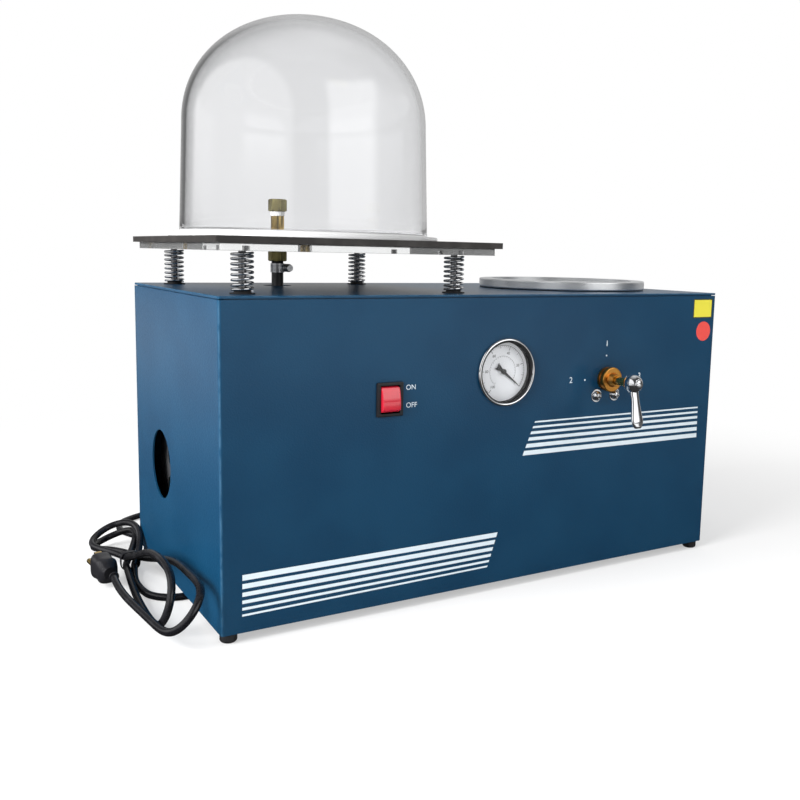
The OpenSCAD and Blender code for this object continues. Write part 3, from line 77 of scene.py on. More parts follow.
# ---------------------------------------------------------------- studio
# A white room for the eye and through glass. Polished surfaces see it dimmer, with soft
# windows in it: a tall one at the front right, a broad one at the left and one overhead.
class Wire:
    """A shader socket in a Python expression: each operator on it adds its Math node."""

    def __init__(self, finish, socket):
        self.finish = finish
        self.socket = socket

    def math(self, operation, *values):
        return self.finish.node("Math", {"operation": operation}, dict(enumerate(values)))

    def __add__(self, other):
        return self.math("ADD", self, other)

    def __sub__(self, other):
        return self.math("SUBTRACT", self, other)

    def __mul__(self, other):
        return self.math("MULTIPLY", self, other)

    def __truediv__(self, other):
        return self.math("DIVIDE", self, other)

    def __rsub__(self, other):
        return self.math("SUBTRACT", other, self)

    def __abs__(self):
        return self.math("ABSOLUTE", self)

    __radd__ = __add__
    __rmul__ = __mul__

    def most(self, other):
        return self.math("MAXIMUM", self, other)

    def step(self, low, high):
        """0 below low, 1 above high, and a smooth rise between."""
        return self.finish.node(
            "MapRange",
            {"interpolation_type": "SMOOTHSTEP"},
            {"Value": self, "From Min": low, "From Max": high},
        )


class Finish:
    """A node tree, filled by Python expressions. put() fills its Principled shader."""

    def __init__(self, name, tree=None):
        self.material = None
        if tree is None:
            self.material = bpy.data.materials.new(name)
            self.material.use_nodes = True
            tree = self.material.node_tree
        self.tree = tree
        self.tree.nodes.clear()

    def node(self, kind, settings=None, inputs=None, output=0):
        """Adds one node: its settings first, then the values or wires of its inputs."""
        made = self.tree.nodes.new("ShaderNode" + kind)
        for name, value in (settings or {}).items():
            if name == "stops":
                ramp = made.color_ramp.elements
                while len(ramp) < len(value):
                    ramp.new(1.0)
                for stop, (at, colour) in zip(ramp, value):
                    stop.position = at
                    stop.color = (*colour, 1.0)
            else:
                setattr(made, name, value)
        for name, value in (inputs or {}).items():
            if isinstance(value, Wire):
                self.tree.links.new(value.socket, made.inputs[name])
            elif isinstance(value, tuple) and len(value) == 3 and made.inputs[name].type == "RGBA":
                made.inputs[name].default_value = (*value, 1.0)
            else:
                made.inputs[name].default_value = value
        return Wire(self, made.outputs[output]) if made.outputs else None

    def place(self, centre=(0, 0, 0)):
        """Object coordinates in millimetres, measured from a centre."""
        at = self.node("TexCoord", output="Object")
        if any(centre):
            shift = tuple(-c * 0.001 for c in centre)
            at = self.node("VectorMath", {"operation": "ADD"}, {0: at, 1: shift})
        return self.node("VectorMath", {"operation": "SCALE"}, {0: at, "Scale": 1000.0})

    def parts(self, vector):
        split = self.node("SeparateXYZ", inputs={0: vector}).socket.node
        return [Wire(self, socket) for socket in split.outputs]

    def joined(self, *values):
        return self.node("CombineXYZ", inputs=dict(enumerate(values)))

    def noise(self, size, place=None, detail=2.0, stretch=None):
        """Noise whose features are about `size` millimetres across."""
        at = place or self.place()
        if stretch:
            at = self.node("VectorMath", {"operation": "MULTIPLY"}, {0: at, 1: stretch})
        return self.node("TexNoise", inputs={"Vector": at, "Scale": 1.0 / size, "Detail": detail})

    def mix(self, share, first, second):
        return self.node(
            "Mix", {"data_type": "RGBA"}, {0: share, 6: first, 7: second}, output=2
        )

    def bump(self, height, depth, normal=None):
        """Normal from a height of 0 to 1 that stands for `depth` millimetres."""
        inputs = {"Height": height, "Distance": depth * 0.001, "Strength": 1.0}
        if normal:
            inputs["Normal"] = normal
        return self.node("Bump", inputs=inputs)

    def put(self, **sockets):
        """Fills the Principled shader and leads it out; an underscore stands for a space."""
        inputs = {name.replace("_", " "): value for name, value in sockets.items()}
        return self.out(self.node("BsdfPrincipled", inputs=inputs))

    def out(self, shader):
        self.node("OutputMaterial", inputs={"Surface": shader})
        return self.material


world = bpy.data.worlds.new("studio")
world.use_nodes = True
bpy.context.scene.world = world
air = Finish("studio", world.node_tree)
ray = air.node("LightPath").socket.node.outputs
ray_x, ray_y, ray_z = air.parts(air.node("TexCoord", output="Generated"))
behind = ray_y.step(-0.30, 0.10)
front_window = ray_x.step(-0.10, 0.04) * (1 - ray_x.step(0.60, 0.78)) * (1 - ray_y.step(-0.55, -0.30))
front_window = front_window * ray_z.step(-0.02, 0.12) * (1 - ray_z.step(0.58, 0.70))
left_window = (1 - ray_x.step(-0.62, -0.50)) * ray_z.step(-0.04, 0.16)
top_window = ray_z.step(0.86, 0.97)
room = 0.07 + behind * (0.08 + 0.42 * ray_x.step(-0.20, 0.30)) + 2.0 * front_window
room = room + 1.1 * left_window + 0.25 * top_window
# Looked at through clear glass the room stays plain white; only a ray that glanced off a wall
# of the glass sees the dimmer one.
through = Wire(air, ray["Is Transmission Ray"])
straight = through * (1 - Wire(air, ray["Glossy Depth"]).step(0, 1))
seen = Wire(air, ray["Is Camera Ray"]) + straight
mirrored = Wire(air, ray["Is Glossy Ray"]).most(through) * (1 - straight)
level_of_light = seen + mirrored * room + (1 - seen - mirrored) * 0.34
sky = air.node("Background", inputs={"Color": (1, 1, 1), "Strength": level_of_light})
air.node("OutputWorld", inputs={"Surface": sky})


def lamp(name, place, aim, size, power):
    """A soft square lamp at `place`, in metres, that looks at `aim`. Reflections leave it out."""
    light = bpy.data.lights.new(name, "AREA")
    light.shape = "SQUARE"
    light.size = size
    light.energy = power
    holder = bpy.data.objects.new(name, light)
    holder.visible_glossy = False
    holder.visible_transmission = False
    away = np.array(place, float) - np.array(aim, float)
    away /= np.linalg.norm(away)
    side = np.cross([0, 0, 1], away) if abs(away[2]) < 0.99 else np.array([1.0, 0, 0])
    side /= np.linalg.norm(side)
    pose = np.eye(4)
    pose[:3, :3] = np.stack([side, np.cross(away, side), away], 1)
    pose[:3, 3] = place
    holder.matrix_world = Matrix(pose.tolist())
    bpy.context.scene.collection.objects.link(holder)


lamp("lamp_left", (-1.9, -0.32, 0.95), (-0.1, 0, 0.2), 1.2, 82)
lamp("lamp_above", (0.1, -0.25, 2.1), (0, 0, 0.2), 1.3, 14)
lamp("lamp_right", (1.5, -1.7, 1.1), (0, 0, 0.2), 0.8, 12.5)


def grid_faces(rows, columns, across=False, along=False):
    """Quads of a grid of points, row by row. `across` joins the last column to the first, and
    `along` the last row to the first."""
    r = np.arange(rows if along else rows - 1)[:, None]
    c = np.arange(columns if across else columns - 1)[None, :]
    r2, c2 = (r + 1) % rows, (c + 1) % columns
    corners = [r * columns + c, r * columns + c2, r2 * columns + c2, r2 * columns + c]
    return np.stack(corners, -1).reshape(-1, 4)


def piece(name, surfaces, finish, crease=35):
    """One object in metres from surfaces in millimetres, each a pair of points and faces. Points
    that meet are merged, so poles and seams close."""
    points, faces, count = [], [], 0
    for at, quads in surfaces:
        at = np.asarray(at, float).reshape(-1, 3)
        points.append(at)
        faces += [[int(i) + count for i in quad] for quad in quads]
        count += len(at)
    mesh = bpy.data.meshes.new(name)
    mesh.from_pydata((np.concatenate(points) * 0.001).tolist(), [], faces)
    made = bmesh.new()
    made.from_mesh(mesh)
    bmesh.ops.remove_doubles(made, verts=made.verts, dist=1e-6)
    made.to_mesh(mesh)
    made.free()
    mesh.validate()
    mesh.shade_smooth()
    mesh.set_sharp_from_angle(angle=math.radians(crease))
    mesh.materials.append(finish)
    thing = bpy.data.objects.new(name, mesh)
    bpy.context.scene.collection.objects.link(thing)
    return thing


def fit(thing, body, slot=None, *replaced):
    """Puts a piece on its body, in place of the solids that it stands for."""
    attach(thing, body)
    if replaced:
        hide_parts(*replaced)
    return thing


def dress(finish, *names):
    """Gives solids that keep their shape a finish."""
    for name in names:
        for holder in nodes[name].material_slots:
            holder.material = finish


# The floor is a disc whose plain white share grows with the distance from the machine. In
# reflections it is dim close by, and brighter far off in front, where the window's light lies.
ground = Finish("floor")
ground_x, ground_y, _ = ground.parts(ground.place())
reach = ground.node("VectorMath", {"operation": "LENGTH"}, {0: ground.joined(ground_x, ground_y, 0)}, 1)
path = ground.node("LightPath").socket.node.outputs
through = Wire(ground, path["Is Transmission Ray"])
straight = through * (1 - Wire(ground, path["Glossy Depth"]).step(0, 1))
polished = Wire(ground, path["Is Glossy Ray"]).most(through) * (1 - straight)
looks_on = Wire(ground, path["Is Camera Ray"]) + straight
far = (0.46 + 0.54 * reach.step(340, 1000)) * looks_on
lit_right = (ground_x - 0.05 * ground_y).step(-100, 200) * (1 - (ground_x + 0.84 * ground_y).step(-100, 400))
lit_left = (1 - (ground_x - 1.05 * ground_y).step(-500, 0)) * (1 - ground_y.step(200, 500))
glow = 0.04 + 0.08 * reach.step(300, 900) + 1.15 * reach.step(700, 1700) * lit_right.most(lit_left)
glow = glow.most(0.62 * (1 - ground_x.step(-800, -350)))
pale = ground.node("BsdfDiffuse", inputs={"Color": (0.88, 0.88, 0.88)})
white = ground.node("Emission", inputs={"Color": (1, 1, 1), "Strength": 1.0})
bright = ground.node("MixShader", inputs={0: far, 1: pale, 2: white})
mirror_image = ground.node("Emission", inputs={"Color": (1, 1, 1), "Strength": glow})
floor_finish = ground.out(ground.node("MixShader", inputs={0: polished, 1: bright, 2: mirror_image}))
radii = np.array([0.0, 200, 400, 800, 1600, 3200, 6000])
bearings = np.arange(96) * 2 * np.pi / 96
floor_points = np.stack(
    [radii[:, None] * np.cos(bearings), radii[:, None] * np.sin(bearings), np.zeros((7, 96))], -1
)
floor = piece("floor", [(floor_points, grid_faces(7, 96, across=True))], floor_finish)


# ---------------------------------------------------------------- cabinet
# A folded steel wrap with a top plate on a shadow seam, a base and a bolted back panel. All of
# it has the same dark blue powder paint, with a fine orange-peel skin and a soft gloss. A paler
# blue is painted in patches along the vertical corners and the top plate's rim as a highlight.
front_y = -132.0
coat = Finish("cabinet_paint")
at = coat.place()
x, y, z = coat.parts(at)
skin = coat.noise(1.5, at, 2.5)
broad = coat.noise(70, at, 2.0)
speck = coat.noise(0.5, at, 1.0)
edge_x = abs(x).step(262.8, 264.8)
edge_y = abs(y).step(129.9, 131.8)
rim = z.step(273.0, 273.8) * edge_x.most(edge_y)
# Painted highlight: paler blue in noisy patches on the corner edges and along the top rim.
edge_highlight = (edge_x * edge_y).most(rim) * coat.noise(9, at).step(0.30, 0.60)
blue = coat.mix(broad.step(0.3, 0.7), (0.0030, 0.0380, 0.0880), (0.0045, 0.0460, 0.1020))
blue = coat.mix(speck.step(0.56, 0.72) * 0.35, blue, (0.016, 0.078, 0.150))
blue = coat.mix(edge_highlight * 0.60, blue, (0.060, 0.150, 0.240))
paint = coat.put(
    Base_Color=blue,
    Roughness=0.25 + 0.14 * skin,
    Specular_IOR_Level=0.28,
    Coat_Weight=0.05 + 0.06 * broad,
    Coat_Roughness=0.12,
    Normal=coat.bump(skin, 0.20),
)
dress(paint, "cabinet_wrap", "top_plate", "base_plate", "back_panel")


# ---------------------------------------------------------------- printing on the front
# White bars, numbers and dots are screen printed on the paint, and two bare stickers, one
# yellow and one red, stand at the upper right.
def flat_bar(corners, lift=0.06):
    """A thin solid on the front panel over four corners (x, z), anticlockwise as seen."""
    corners = np.asarray(corners, float)
    low = np.stack([corners[:, 0], np.full(4, front_y - 0.01), corners[:, 1]], -1)
    high = low - [0, lift, 0]
    faces = [[4, 5, 6, 7], [3, 2, 1, 0]]
    faces += [[i, (i + 1) % 4, 4 + (i + 1) % 4, 4 + i] for i in range(4)]
    return np.concatenate([low, high]), faces


def bar_group(top_left, bottom_left, top_right, bottom_right, shares):
    """Bars between two slanted ends. `shares` are bar and gap heights from the top down."""
    edges = np.concatenate([[0], np.cumsum(shares)]) / sum(shares)
    left = np.array(top_left) + edges[:, None] * (np.array(bottom_left) - top_left)
    other = np.array(top_right) + edges[:, None] * (np.array(bottom_right) - top_right)
    return [
        flat_bar([left[i + 1], other[i + 1], other[i], left[i]]) for i in range(0, len(shares), 2)
    ]


def lettering(text, size, place):
    """Flat letters as a thin solid; place turns points (right, up, out) into the frame."""
    words = bpy.data.curves.new(text, "FONT")
    words.body = text
    words.size = size
    words.align_x = "CENTER"
    words.align_y = "CENTER"
    words.extrude = 0.025
    holder = bpy.data.objects.new(text, words)
    bpy.context.scene.collection.objects.link(holder)
    bpy.context.view_layer.update()
    shape = bpy.data.meshes.new_from_object(holder)
    points = np.zeros(len(shape.vertices) * 3)
    shape.vertices.foreach_get("co", points)
    faces = [list(polygon.vertices) for polygon in shape.polygons]
    bpy.data.objects.remove(holder)
    bpy.data.meshes.remove(shape)
    return place(points.reshape(-1, 3)), faces


def on_front(points, x, z):
    """Points (right, up, out) on the front panel round the centre x, z."""
    points = np.asarray(points, float)
    return np.stack([x + points[..., 0], front_y - points[..., 2], z + points[..., 1]], -1)


def turned(profile, steps=64):
    """Surface of a profile (radius, height) turned about Z: each point goes round a circle."""
    profile = np.asarray(profile, float)
    angle = np.arange(steps) * 2 * np.pi / steps
    radius, height = profile[:, :1], profile[:, 1:]
    points = np.stack(
        [radius * np.cos(angle), radius * np.sin(angle), height + 0 * angle], -1
    )
    return points, grid_faces(len(profile), steps, across=True)


ink = Finish("white_ink")
ink_mottle = ink.noise(0.8)
white_ink = ink.put(
    Base_Color=ink.mix(ink_mottle, (0.62, 0.71, 0.77), (0.76, 0.84, 0.89)),
    Roughness=0.42 + 0.15 * ink_mottle,
    Normal=ink.bump(ink_mottle, 0.02),
)
bars = bar_group((34.8, 156.5), (21.7, 125.1), (247.7, 155.5), (248.3, 122.9),
                 [1.5, 3.2, 2.0, 3.1, 2.6, 3.0, 3.2, 2.9, 3.8, 2.8, 4.4])
bars += bar_group((-247.5, 55.6), (-247.9, 21.6), (-3.9, 55.5), (-14.4, 23.8),
                  [4.4, 2.6, 3.9, 2.8, 3.3, 2.9, 2.7, 3.0, 2.1, 3.1, 1.6])
fit(piece("printed_bars", bars, white_ink), "cabinet", "dial_white")


def front_text(text, size, x, z):
    return lettering(text, size, lambda p: on_front(p + [0, 0, 0.035], x, z))


disc, disc_faces = turned([(0, 0.06), (0.9, 0.06), (0.9, 0.0)][::-1], 20)
marks = [front_text("ON", 6.2, -98.4, 196), front_text("OFF", 6.2, -97.6, 180.7)]
marks += [front_text("1", 8.0, 118.5, 226), front_text("2", 8.0, 75.5, 192.5)]
marks += [front_text("3", 8.0, 162.5, 192.5)]
marks += [(on_front(disc, 118.5, 214.5), disc_faces), (on_front(disc, 92.5, 192.0), disc_faces)]
marks += [(on_front(disc, 146.0, 192.0), disc_faces)]
fit(piece("printed_marks", marks, white_ink), "cabinet", "dial_white")

label = Finish("sticker_yellow")
lx, ly, lz = label.parts(label.place((246.5, 0, 258.3)))
rim = abs(lx).step(12.3, 12.6).most(abs(lz).step(8.6, 8.9))
yellow = label.put(
    Base_Color=label.mix(rim, (0.80, 0.72, 0.06), (0.06, 0.055, 0.02)), Roughness=0.32,
    Normal=label.bump(label.noise(6), 0.03),
)
fit(piece("sticker_square", [flat_bar([(233, 248.6), (260, 248.6), (260, 268), (233, 268)], 0.12)],
          yellow), "cabinet")
dot = Finish("sticker_red")
red_dot = dot.put(
    Base_Color=dot.mix(dot.noise(3), (0.78, 0.07, 0.06), (0.86, 0.10, 0.08)), Roughness=0.30,
    Normal=dot.bump(dot.noise(5), 0.03),
)
round_label, label_faces = turned([(10, 0.0), (10, 0.12), (0, 0.12)], 64)
fit(piece("sticker_round", [(on_front(round_label, 249, 234.8), label_faces)], red_dot), "cabinet")


# ---------------------------------------------------------------- screws and feet
# Zinc-plated pan-head screws with a cross recess hold the back panel and the feet.
def screw(across, length, head, rise, depth=0.9):
    """Shank below z = 0 and a domed head above it. The head's height falls with the square of
    the radius, less a cross-shaped recess that fades out towards its arms' ends."""
    shank = [(0, -length), (across / 2 - 0.3, -length), (across / 2, -length + 0.4), (across / 2, 0)]
    under = [(head / 2, 0), (head / 2, rise * 0.35)]
    crown = np.linspace(1, 0, 22)[1:]
    radius = np.concatenate([[p[0] for p in shank + under], head / 2 * crown])
    height = np.concatenate([[p[1] for p in shank + under], rise - rise * 0.65 * crown**2.4])
    points, faces = turned(np.stack([radius, height], -1), 72)
    px, py = points[..., 0], points[..., 1]
    arm = np.minimum(np.abs(px), np.abs(py))
    reach = np.maximum(np.abs(px), np.abs(py))
    sunk = np.clip((head * 0.075 - arm) / (head * 0.02), 0, 1) * np.clip((head * 0.27 - reach) / (head * 0.05), 0, 1)
    sunk[: len(shank + under)] = 0
    points[..., 2] -= depth * sunk
    return points, faces


def metal(name, colour, other, rough, grain=0.4, depth=0.01, blotch=25, stretch=None, centre=(0, 0, 0)):
    """Bare or plated metal: fine grain in its gloss, broad clouds in its colour."""
    made = Finish(name)
    at = made.place(centre)
    fine = made.noise(grain, at, 3.0, stretch)
    cloud = made.noise(blotch, at)
    return made.put(
        Base_Color=made.mix(cloud.step(0.3, 0.7), colour, other),
        Metallic=1.0,
        Roughness=rough * 0.7 + rough * 0.6 * fine,
        Normal=made.bump(fine, depth),
    )


zinc = metal("zinc_plate", (0.60, 0.61, 0.62), (0.50, 0.51, 0.53), 0.30)
head, head_faces = screw(4, 8, 7.5, 2.2)
back_at = [(s * 256.5, z) for s in (-1, 1) for z in (33, 139.6, 246.2)] + [(0, 265), (0, 15)]
back_heads = [
    (np.stack([x - head[..., 0], 132 + head[..., 2], z + head[..., 1]], -1), head_faces)
    for x, z in back_at
]
foot_head, foot_faces = screw(4, 5.5, 7.5, 2.2)
back_heads += [
    (foot_head + [sx * 256.5, sy * 123.5, 10], foot_faces) for sx in (-1, 1) for sy in (-1, 1)
]
fit(piece("panel_screws", back_heads, zinc), "cabinet", "zinc_steel", "cabinet_screws")


def rubber(name, colour, rough=0.62, grain=0.5, depth=0.02):
    """Black rubber: a dull grained skin with a little grey bloom."""
    made = Finish(name)
    at = made.place()
    fine = made.noise(grain, at, 3.0)
    bloom = made.noise(18, at, 3.0)
    grey = tuple(1.9 * c + 0.008 for c in colour)
    return made.put(
        Base_Color=made.mix(bloom.step(0.45, 0.75) * 0.6, colour, grey),
        Roughness=rough - 0.12 + 0.24 * fine,
        Normal=made.bump(fine, depth),
    )


black_rubber = rubber("black_rubber", (0.011, 0.011, 0.012))
dress(black_rubber, "rubber_feet", "pump_isolators")


# ---------------------------------------------------------------- springs of the table
# Four coil springs of bright steel wire stand on black seats round guide studs. Their ends are
# closed and ground flat.
bright_wire = metal("spring_wire", (0.78, 0.78, 0.79), (0.62, 0.62, 0.63), 0.16, 0.6, 0.01)
dress(black_rubber, "spring_seats")
stud_steel = metal("stud_steel", (0.30, 0.30, 0.31), (0.22, 0.22, 0.23), 0.32)
dress(stud_steel, "guide_studs")
dress(zinc, "stud_nuts")
spring_low, spring_high = 275.3, 307.5


def sweep(line, radius, sides, first=(0, 0, 1), swell=None):
    """A round tube along a line of points: at each point a circle square to the line, whose
    start is carried along without twist. `swell` scales the circle at each point."""
    line = np.asarray(line, float)
    way = np.gradient(line, axis=0)
    way /= np.linalg.norm(way, axis=1)[:, None]
    side = np.array(first, float)
    sides_at = []
    for t in way:
        side = side - (side @ t) * t
        side = side / np.linalg.norm(side)
        sides_at.append(side)
    across = np.array(sides_at)
    other = np.cross(way, across)
    angle = np.arange(sides) * 2 * np.pi / sides
    size = radius * (np.ones(len(line)) if swell is None else np.asarray(swell))
    around = np.cos(angle)[None, :, None] * across[:, None] + np.sin(angle)[None, :, None] * other[:, None]
    points = line[:, None] + size[:, None, None] * around
    points = np.concatenate([line[:1, None].repeat(sides, 1), points, line[-1:, None].repeat(sides, 1)])
    return points, grid_faces(len(line) + 2, sides, across=True)


def spring_surface(x, y, curls=8, wire=2.0, outer=18.5, end_rise=2.6):
    """A helix: the angle grows evenly, the height slowly over the end curls and faster
    between, and the wire is ground flat where it passes the end planes."""
    rise = spring_high - spring_low - wire
    turns = np.linspace(0, curls, curls * 28 + 1)
    middle = (rise - 2 * end_rise) / (curls - 2)
    height = np.where(turns <= 1, end_rise * turns, end_rise + middle * (turns - 1))
    height = np.where(turns >= curls - 1, rise - end_rise * (curls - turns), height)
    angle = 2 * np.pi * turns
    radius = (outer - wire) / 2
    line = np.stack([x + radius * np.cos(angle), y + radius * np.sin(angle), spring_low + wire / 2 + height], -1)
    points, faces = sweep(line, wire / 2, 12)
    points[..., 2] = np.clip(points[..., 2], spring_low + 0.25, spring_high - 0.25)
    return points, faces


for spring_name, sx, sy in [("front_left", -235.5, -102), ("front_right", -39.5, -102),
                            ("back_left", -235.5, 94), ("back_right", -39.5, 94)]:
    coil = piece("coil_" + spring_name, [spring_surface(sx, sy)], bright_wire)
    fit(coil, "table", "spring_steel", "spring_" + spring_name)
    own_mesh(coil)


# ---------------------------------------------------------------- vacuum table
# A black rubber pad lies on a clear acrylic plate, whose sawn edges scatter the light.
pad_rubber = rubber("pad_rubber", (0.020, 0.018, 0.017), 0.55, 0.9, 0.03)
dress(pad_rubber, "table_pad")


def clear(name, colour, ior, rough=0.0, haze=0.0, pale_paint_below=None):
    """Clear plastic or glass. Rays from lamps pass straight through, and haze is the share
    that scatters. Below a given height it is half painted pale, for the light seen through a foot."""
    made = Finish(name)
    body = made.node("BsdfPrincipled", inputs={
        "Base Color": colour, "Roughness": rough, "IOR": ior, "Transmission Weight": 1.0 - haze,
        "Normal": made.bump(made.noise(45, detail=1.0), 0.02),
    })
    if pale_paint_below is not None:
        _, _, z = made.parts(made.place())
        # Painted lightness: a pale diffuse share below the given height.
        painted_pale = made.node("BsdfDiffuse", inputs={"Color": (0.90, 0.90, 0.90)})
        body = made.node("MixShader", inputs={0: 0.5 * (1 - z.step(pale_paint_below - 1, pale_paint_below + 2)), 1: body, 2: painted_pale})
    open_way = made.node("BsdfTransparent", inputs={"Color": colour})
    lamp_ray = made.node("LightPath", output="Is Shadow Ray")
    return made.out(made.node("MixShader", inputs={0: lamp_ray, 1: body, 2: open_way}))


acrylic = clear("clear_acrylic", (0.97, 0.98, 0.98), 1.49, 0.04, 0.06)
dress(acrylic, "table_plate")


# ---------------------------------------------------------------- bell jar
# One clear moulded shell on a thin foot rim. The wall leans in a little on its way up and closes
# in a dome that is slightly squarer than a half ball. It stands a little off the table's middle.
table_x, table_y, pad_top = -137.5, -4.0, 319.0
jar_x, jar_y = table_x - 1.8, table_y + 3.2


def dome(radius, height, start, steps=46):
    """Superellipse from the wall to the crown: both halves of the circle's cosine and sine
    are raised to 2 / 2.1."""
    angle = np.linspace(0, np.pi / 2, steps)
    return np.stack([radius * np.cos(angle).clip(0) ** (2 / 2.1),
                     start + height * np.sin(angle) ** (2 / 2.1)], -1)


def arc(cx, cz, radius, start, end, steps=8):
    """Points on a circle round cx, cz between two angles in degrees."""
    angle = np.radians(np.linspace(start, end, steps))
    return np.stack([cx + radius * np.cos(angle), cz + radius * np.sin(angle)], -1)


inside = dome(105.75, 92, 100)[::-1]
outside = dome(109.75, 96, 100)
jar_profile = np.concatenate([
    inside, [(106.56, 75), (107.37, 50), (108.2, 25), (108.8, 6)], arc(109.8, 1.0, 1.0, 180, 270),
    arc(121.3, 1.2, 1.2, 270, 360), arc(121.3, 2.8, 1.2, 0, 90), arc(115.0, 6.2, 2.2, 270, 180, 7),
    [(112.2, 25), (111.37, 50), (110.56, 75)], outside,
])
jar_points, jar_faces = turned(jar_profile, 320)
# Below 5 mm over the pad the foot is half painted pale white, a painted lightness that stands in for the light seen
# through the rim.
jar_finish = clear("jar_clear", (0.915, 0.918, 0.926), 1.45, pale_paint_below=pad_top + 5)
fit(piece("jar_shell", [(jar_points + [jar_x, jar_y, pad_top], jar_faces)], jar_finish, 60),
    "jar", "jar_clear", "bell_jar")


# ---------------------------------------------------------------- vacuum nozzle
# A brass stem through the table with a hexagon cap above it, a nut below, and white sealing
# tape round the thread under the cap.
def brass(name, colour=(0.86, 0.63, 0.22), other=(0.74, 0.50, 0.15), rough=0.16):
    return metal(name, colour, other, rough, 0.5, 0.008, 9)


polished_brass = brass("brass")
dull_brass = brass("brass_dull", (0.40, 0.34, 0.14), (0.30, 0.25, 0.10), 0.42)
cap_brass = brass("brass_cap", (0.62, 0.55, 0.22), (0.48, 0.40, 0.15), 0.36)
dress(polished_brass, "vacuum_nozzle")
nozzle_x, nozzle_y = -142.0, 63.0


def hexagon(flats, low, high, bore, chamfer=0.9):
    """A hexagon prism with chamfered corners and a bore: the radius is the smaller of the
    hexagon's edge and a cone that cuts its corners at both ends."""
    angle = np.arange(72) * 2 * np.pi / 72
    edge = flats / 2 / np.cos((angle + np.pi / 6) % (np.pi / 3) - np.pi / 6)
    cone = flats / 2 * 1.02
    rows = [(bore / 2 + 0 * edge, low), (np.minimum(edge, cone) - 0.3, low),
            (np.minimum(edge, cone), low + 0.2), (edge, low + chamfer), (edge, high - chamfer),
            (np.minimum(edge, cone), high - 0.2), (np.minimum(edge, cone) - 0.3, high),
            (bore / 2 + 0 * edge, high)]
    points = np.stack([np.stack([r * np.cos(angle), r * np.sin(angle), h + 0 * angle], -1)
                       for r, h in rows])
    return points, grid_faces(len(rows), 72, across=True, along=True)


cap, cap_faces = hexagon(16, 345, 358, 5)
nut, nut_faces = hexagon(16, 297.8, 307.8, 11.2)
lift = [nozzle_x, nozzle_y, 0]
fit(piece("hex_cap", [(cap + lift, cap_faces)], cap_brass), "table", "brass", "nozzle_cap")
fit(piece("hex_nut", [(nut + lift, nut_faces)], dull_brass), "table", "brass", "nozzle_nut")
wrap = Finish("sealing_tape")
wind = wrap.noise(1.2, stretch=(0.2, 0.2, 2.0))
tape_finish = wrap.put(Base_Color=(0.82, 0.82, 0.80), Roughness=0.45 + 0.2 * wind,
                       Normal=wrap.bump(wind, 0.08))
tape, tape_faces = turned([(6.5, 339.6), (6.85, 340.0), (6.95, 342.3), (6.85, 344.6), (6.5, 345)], 64)
fit(piece("sealing_tape", [(tape + lift, tape_faces)], tape_finish), "table")


# ---------------------------------------------------------------- hose of the table
# Black rubber hose on the nozzle's tail, held by a worm-drive band; it goes down through the
# hole in the top plate.
hose_rubber = rubber("hose_rubber", (0.012, 0.012, 0.013), 0.42, 0.6)
hose_profile = [(4.3, 297.6), (5.6, 297.8), (5.8, 297.5), (5.8, 296.2), (5.68, 295.6), (5.68, 287.0),
                (5.8, 286.4), (5.8, 224.2), (5.6, 224), (4.3, 224)][::-1]
hose, hose_faces = turned(hose_profile + [hose_profile[0]], 48)
short_hose = piece("short_hose", [(hose + lift, hose_faces)], hose_rubber)
fit(short_hose, "table", "black_rubber", "table_hose")
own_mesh(short_hose)
angle = np.arange(144) * 2 * np.pi / 144
height = np.array([0, 0.15, 0.5, 1.6, 1.9, 4.5, 7.1, 7.4, 8.5, 8.85, 9.0])
pressed = ((angle * 180 / np.pi) % 15 < 6)[None, :] * ((height > 1.8) & (height < 7.2))[:, None]
band_r = np.where((height < 0.1) | (height > 8.9), 6.5, 6.75)[:, None] - 0.35 * pressed
band = np.stack([band_r * np.cos(angle), band_r * np.sin(angle), 286.8 + height[:, None] + 0 * angle], -1)
inner = np.stack([5.9 * np.cos(angle), 5.9 * np.sin(angle), 0 * angle], -1)
band = np.concatenate([(inner + [0, 0, 286.8])[None], band, (inner + [0, 0, 295.8])[None]])
worm, worm_faces = turned([(0, 6.4), (0.5, 6.4), (0.5, 7.5), (2.9, 7.5), (3.3, 7.1), (3.3, 4.6), (3.9, 4.4),
                           (4.0, 4.0), (4.0, -6.9), (3.4, -7.5), (0, -7.5)][::-1], 48)
worm = np.stack([10.3 + worm[..., 0], -worm[..., 2], 291.3 + worm[..., 1]], -1)
clamp = piece("worm_clamp", [(band + lift, grid_faces(13, 144, across=True, along=True)),
                             (worm + lift, worm_faces)], zinc)
fit(clamp, "table", "zinc_steel", "hose_clamp")


# ---------------------------------------------------------------- casting chamber
# A turned aluminium ring on a thin gasket frames the open bore of a deep steel cup that hangs
# under the top plate, with a brass port at its floor.
ring_centre = (154.7, -12.7, 0.0)


def lathe(name, colour, other, rough, centre, depth=0.02, metallic=1.0):
    """Turned metal: fine rings round the centre, from noise that reads only the radius and
    the height, and broader bands in its colour."""
    made = Finish(name)
    x, y, z = made.parts(made.place(centre))
    radius = made.node("VectorMath", {"operation": "LENGTH"}, {0: made.joined(x, y, 0)}, 1)
    cut = made.noise(0.35, made.joined(radius, z, 0), 3.0)
    bands = made.noise(4.5, made.joined(radius, z, 0), 1.0)
    scuff = made.noise(14, made.joined(x, y, z), 3.0)
    return made.put(
        Base_Color=made.mix(bands * 0.6 + scuff * 0.4, colour, other),
        Metallic=metallic,
        Roughness=rough * 0.6 + rough * 0.8 * cut + 0.08 * scuff,
        Normal=made.bump(cut, depth),
    )


turned_metal = lathe("turned_aluminium", (0.90, 0.91, 0.92), (0.66, 0.67, 0.68), 0.27, ring_centre, 0.03, 0.84)
dress(turned_metal, "casting_ring", "casting_chamber")
dress(black_rubber, "ring_gasket")
dress(polished_brass, "chamber_port")
dress(zinc, "ring_screws")


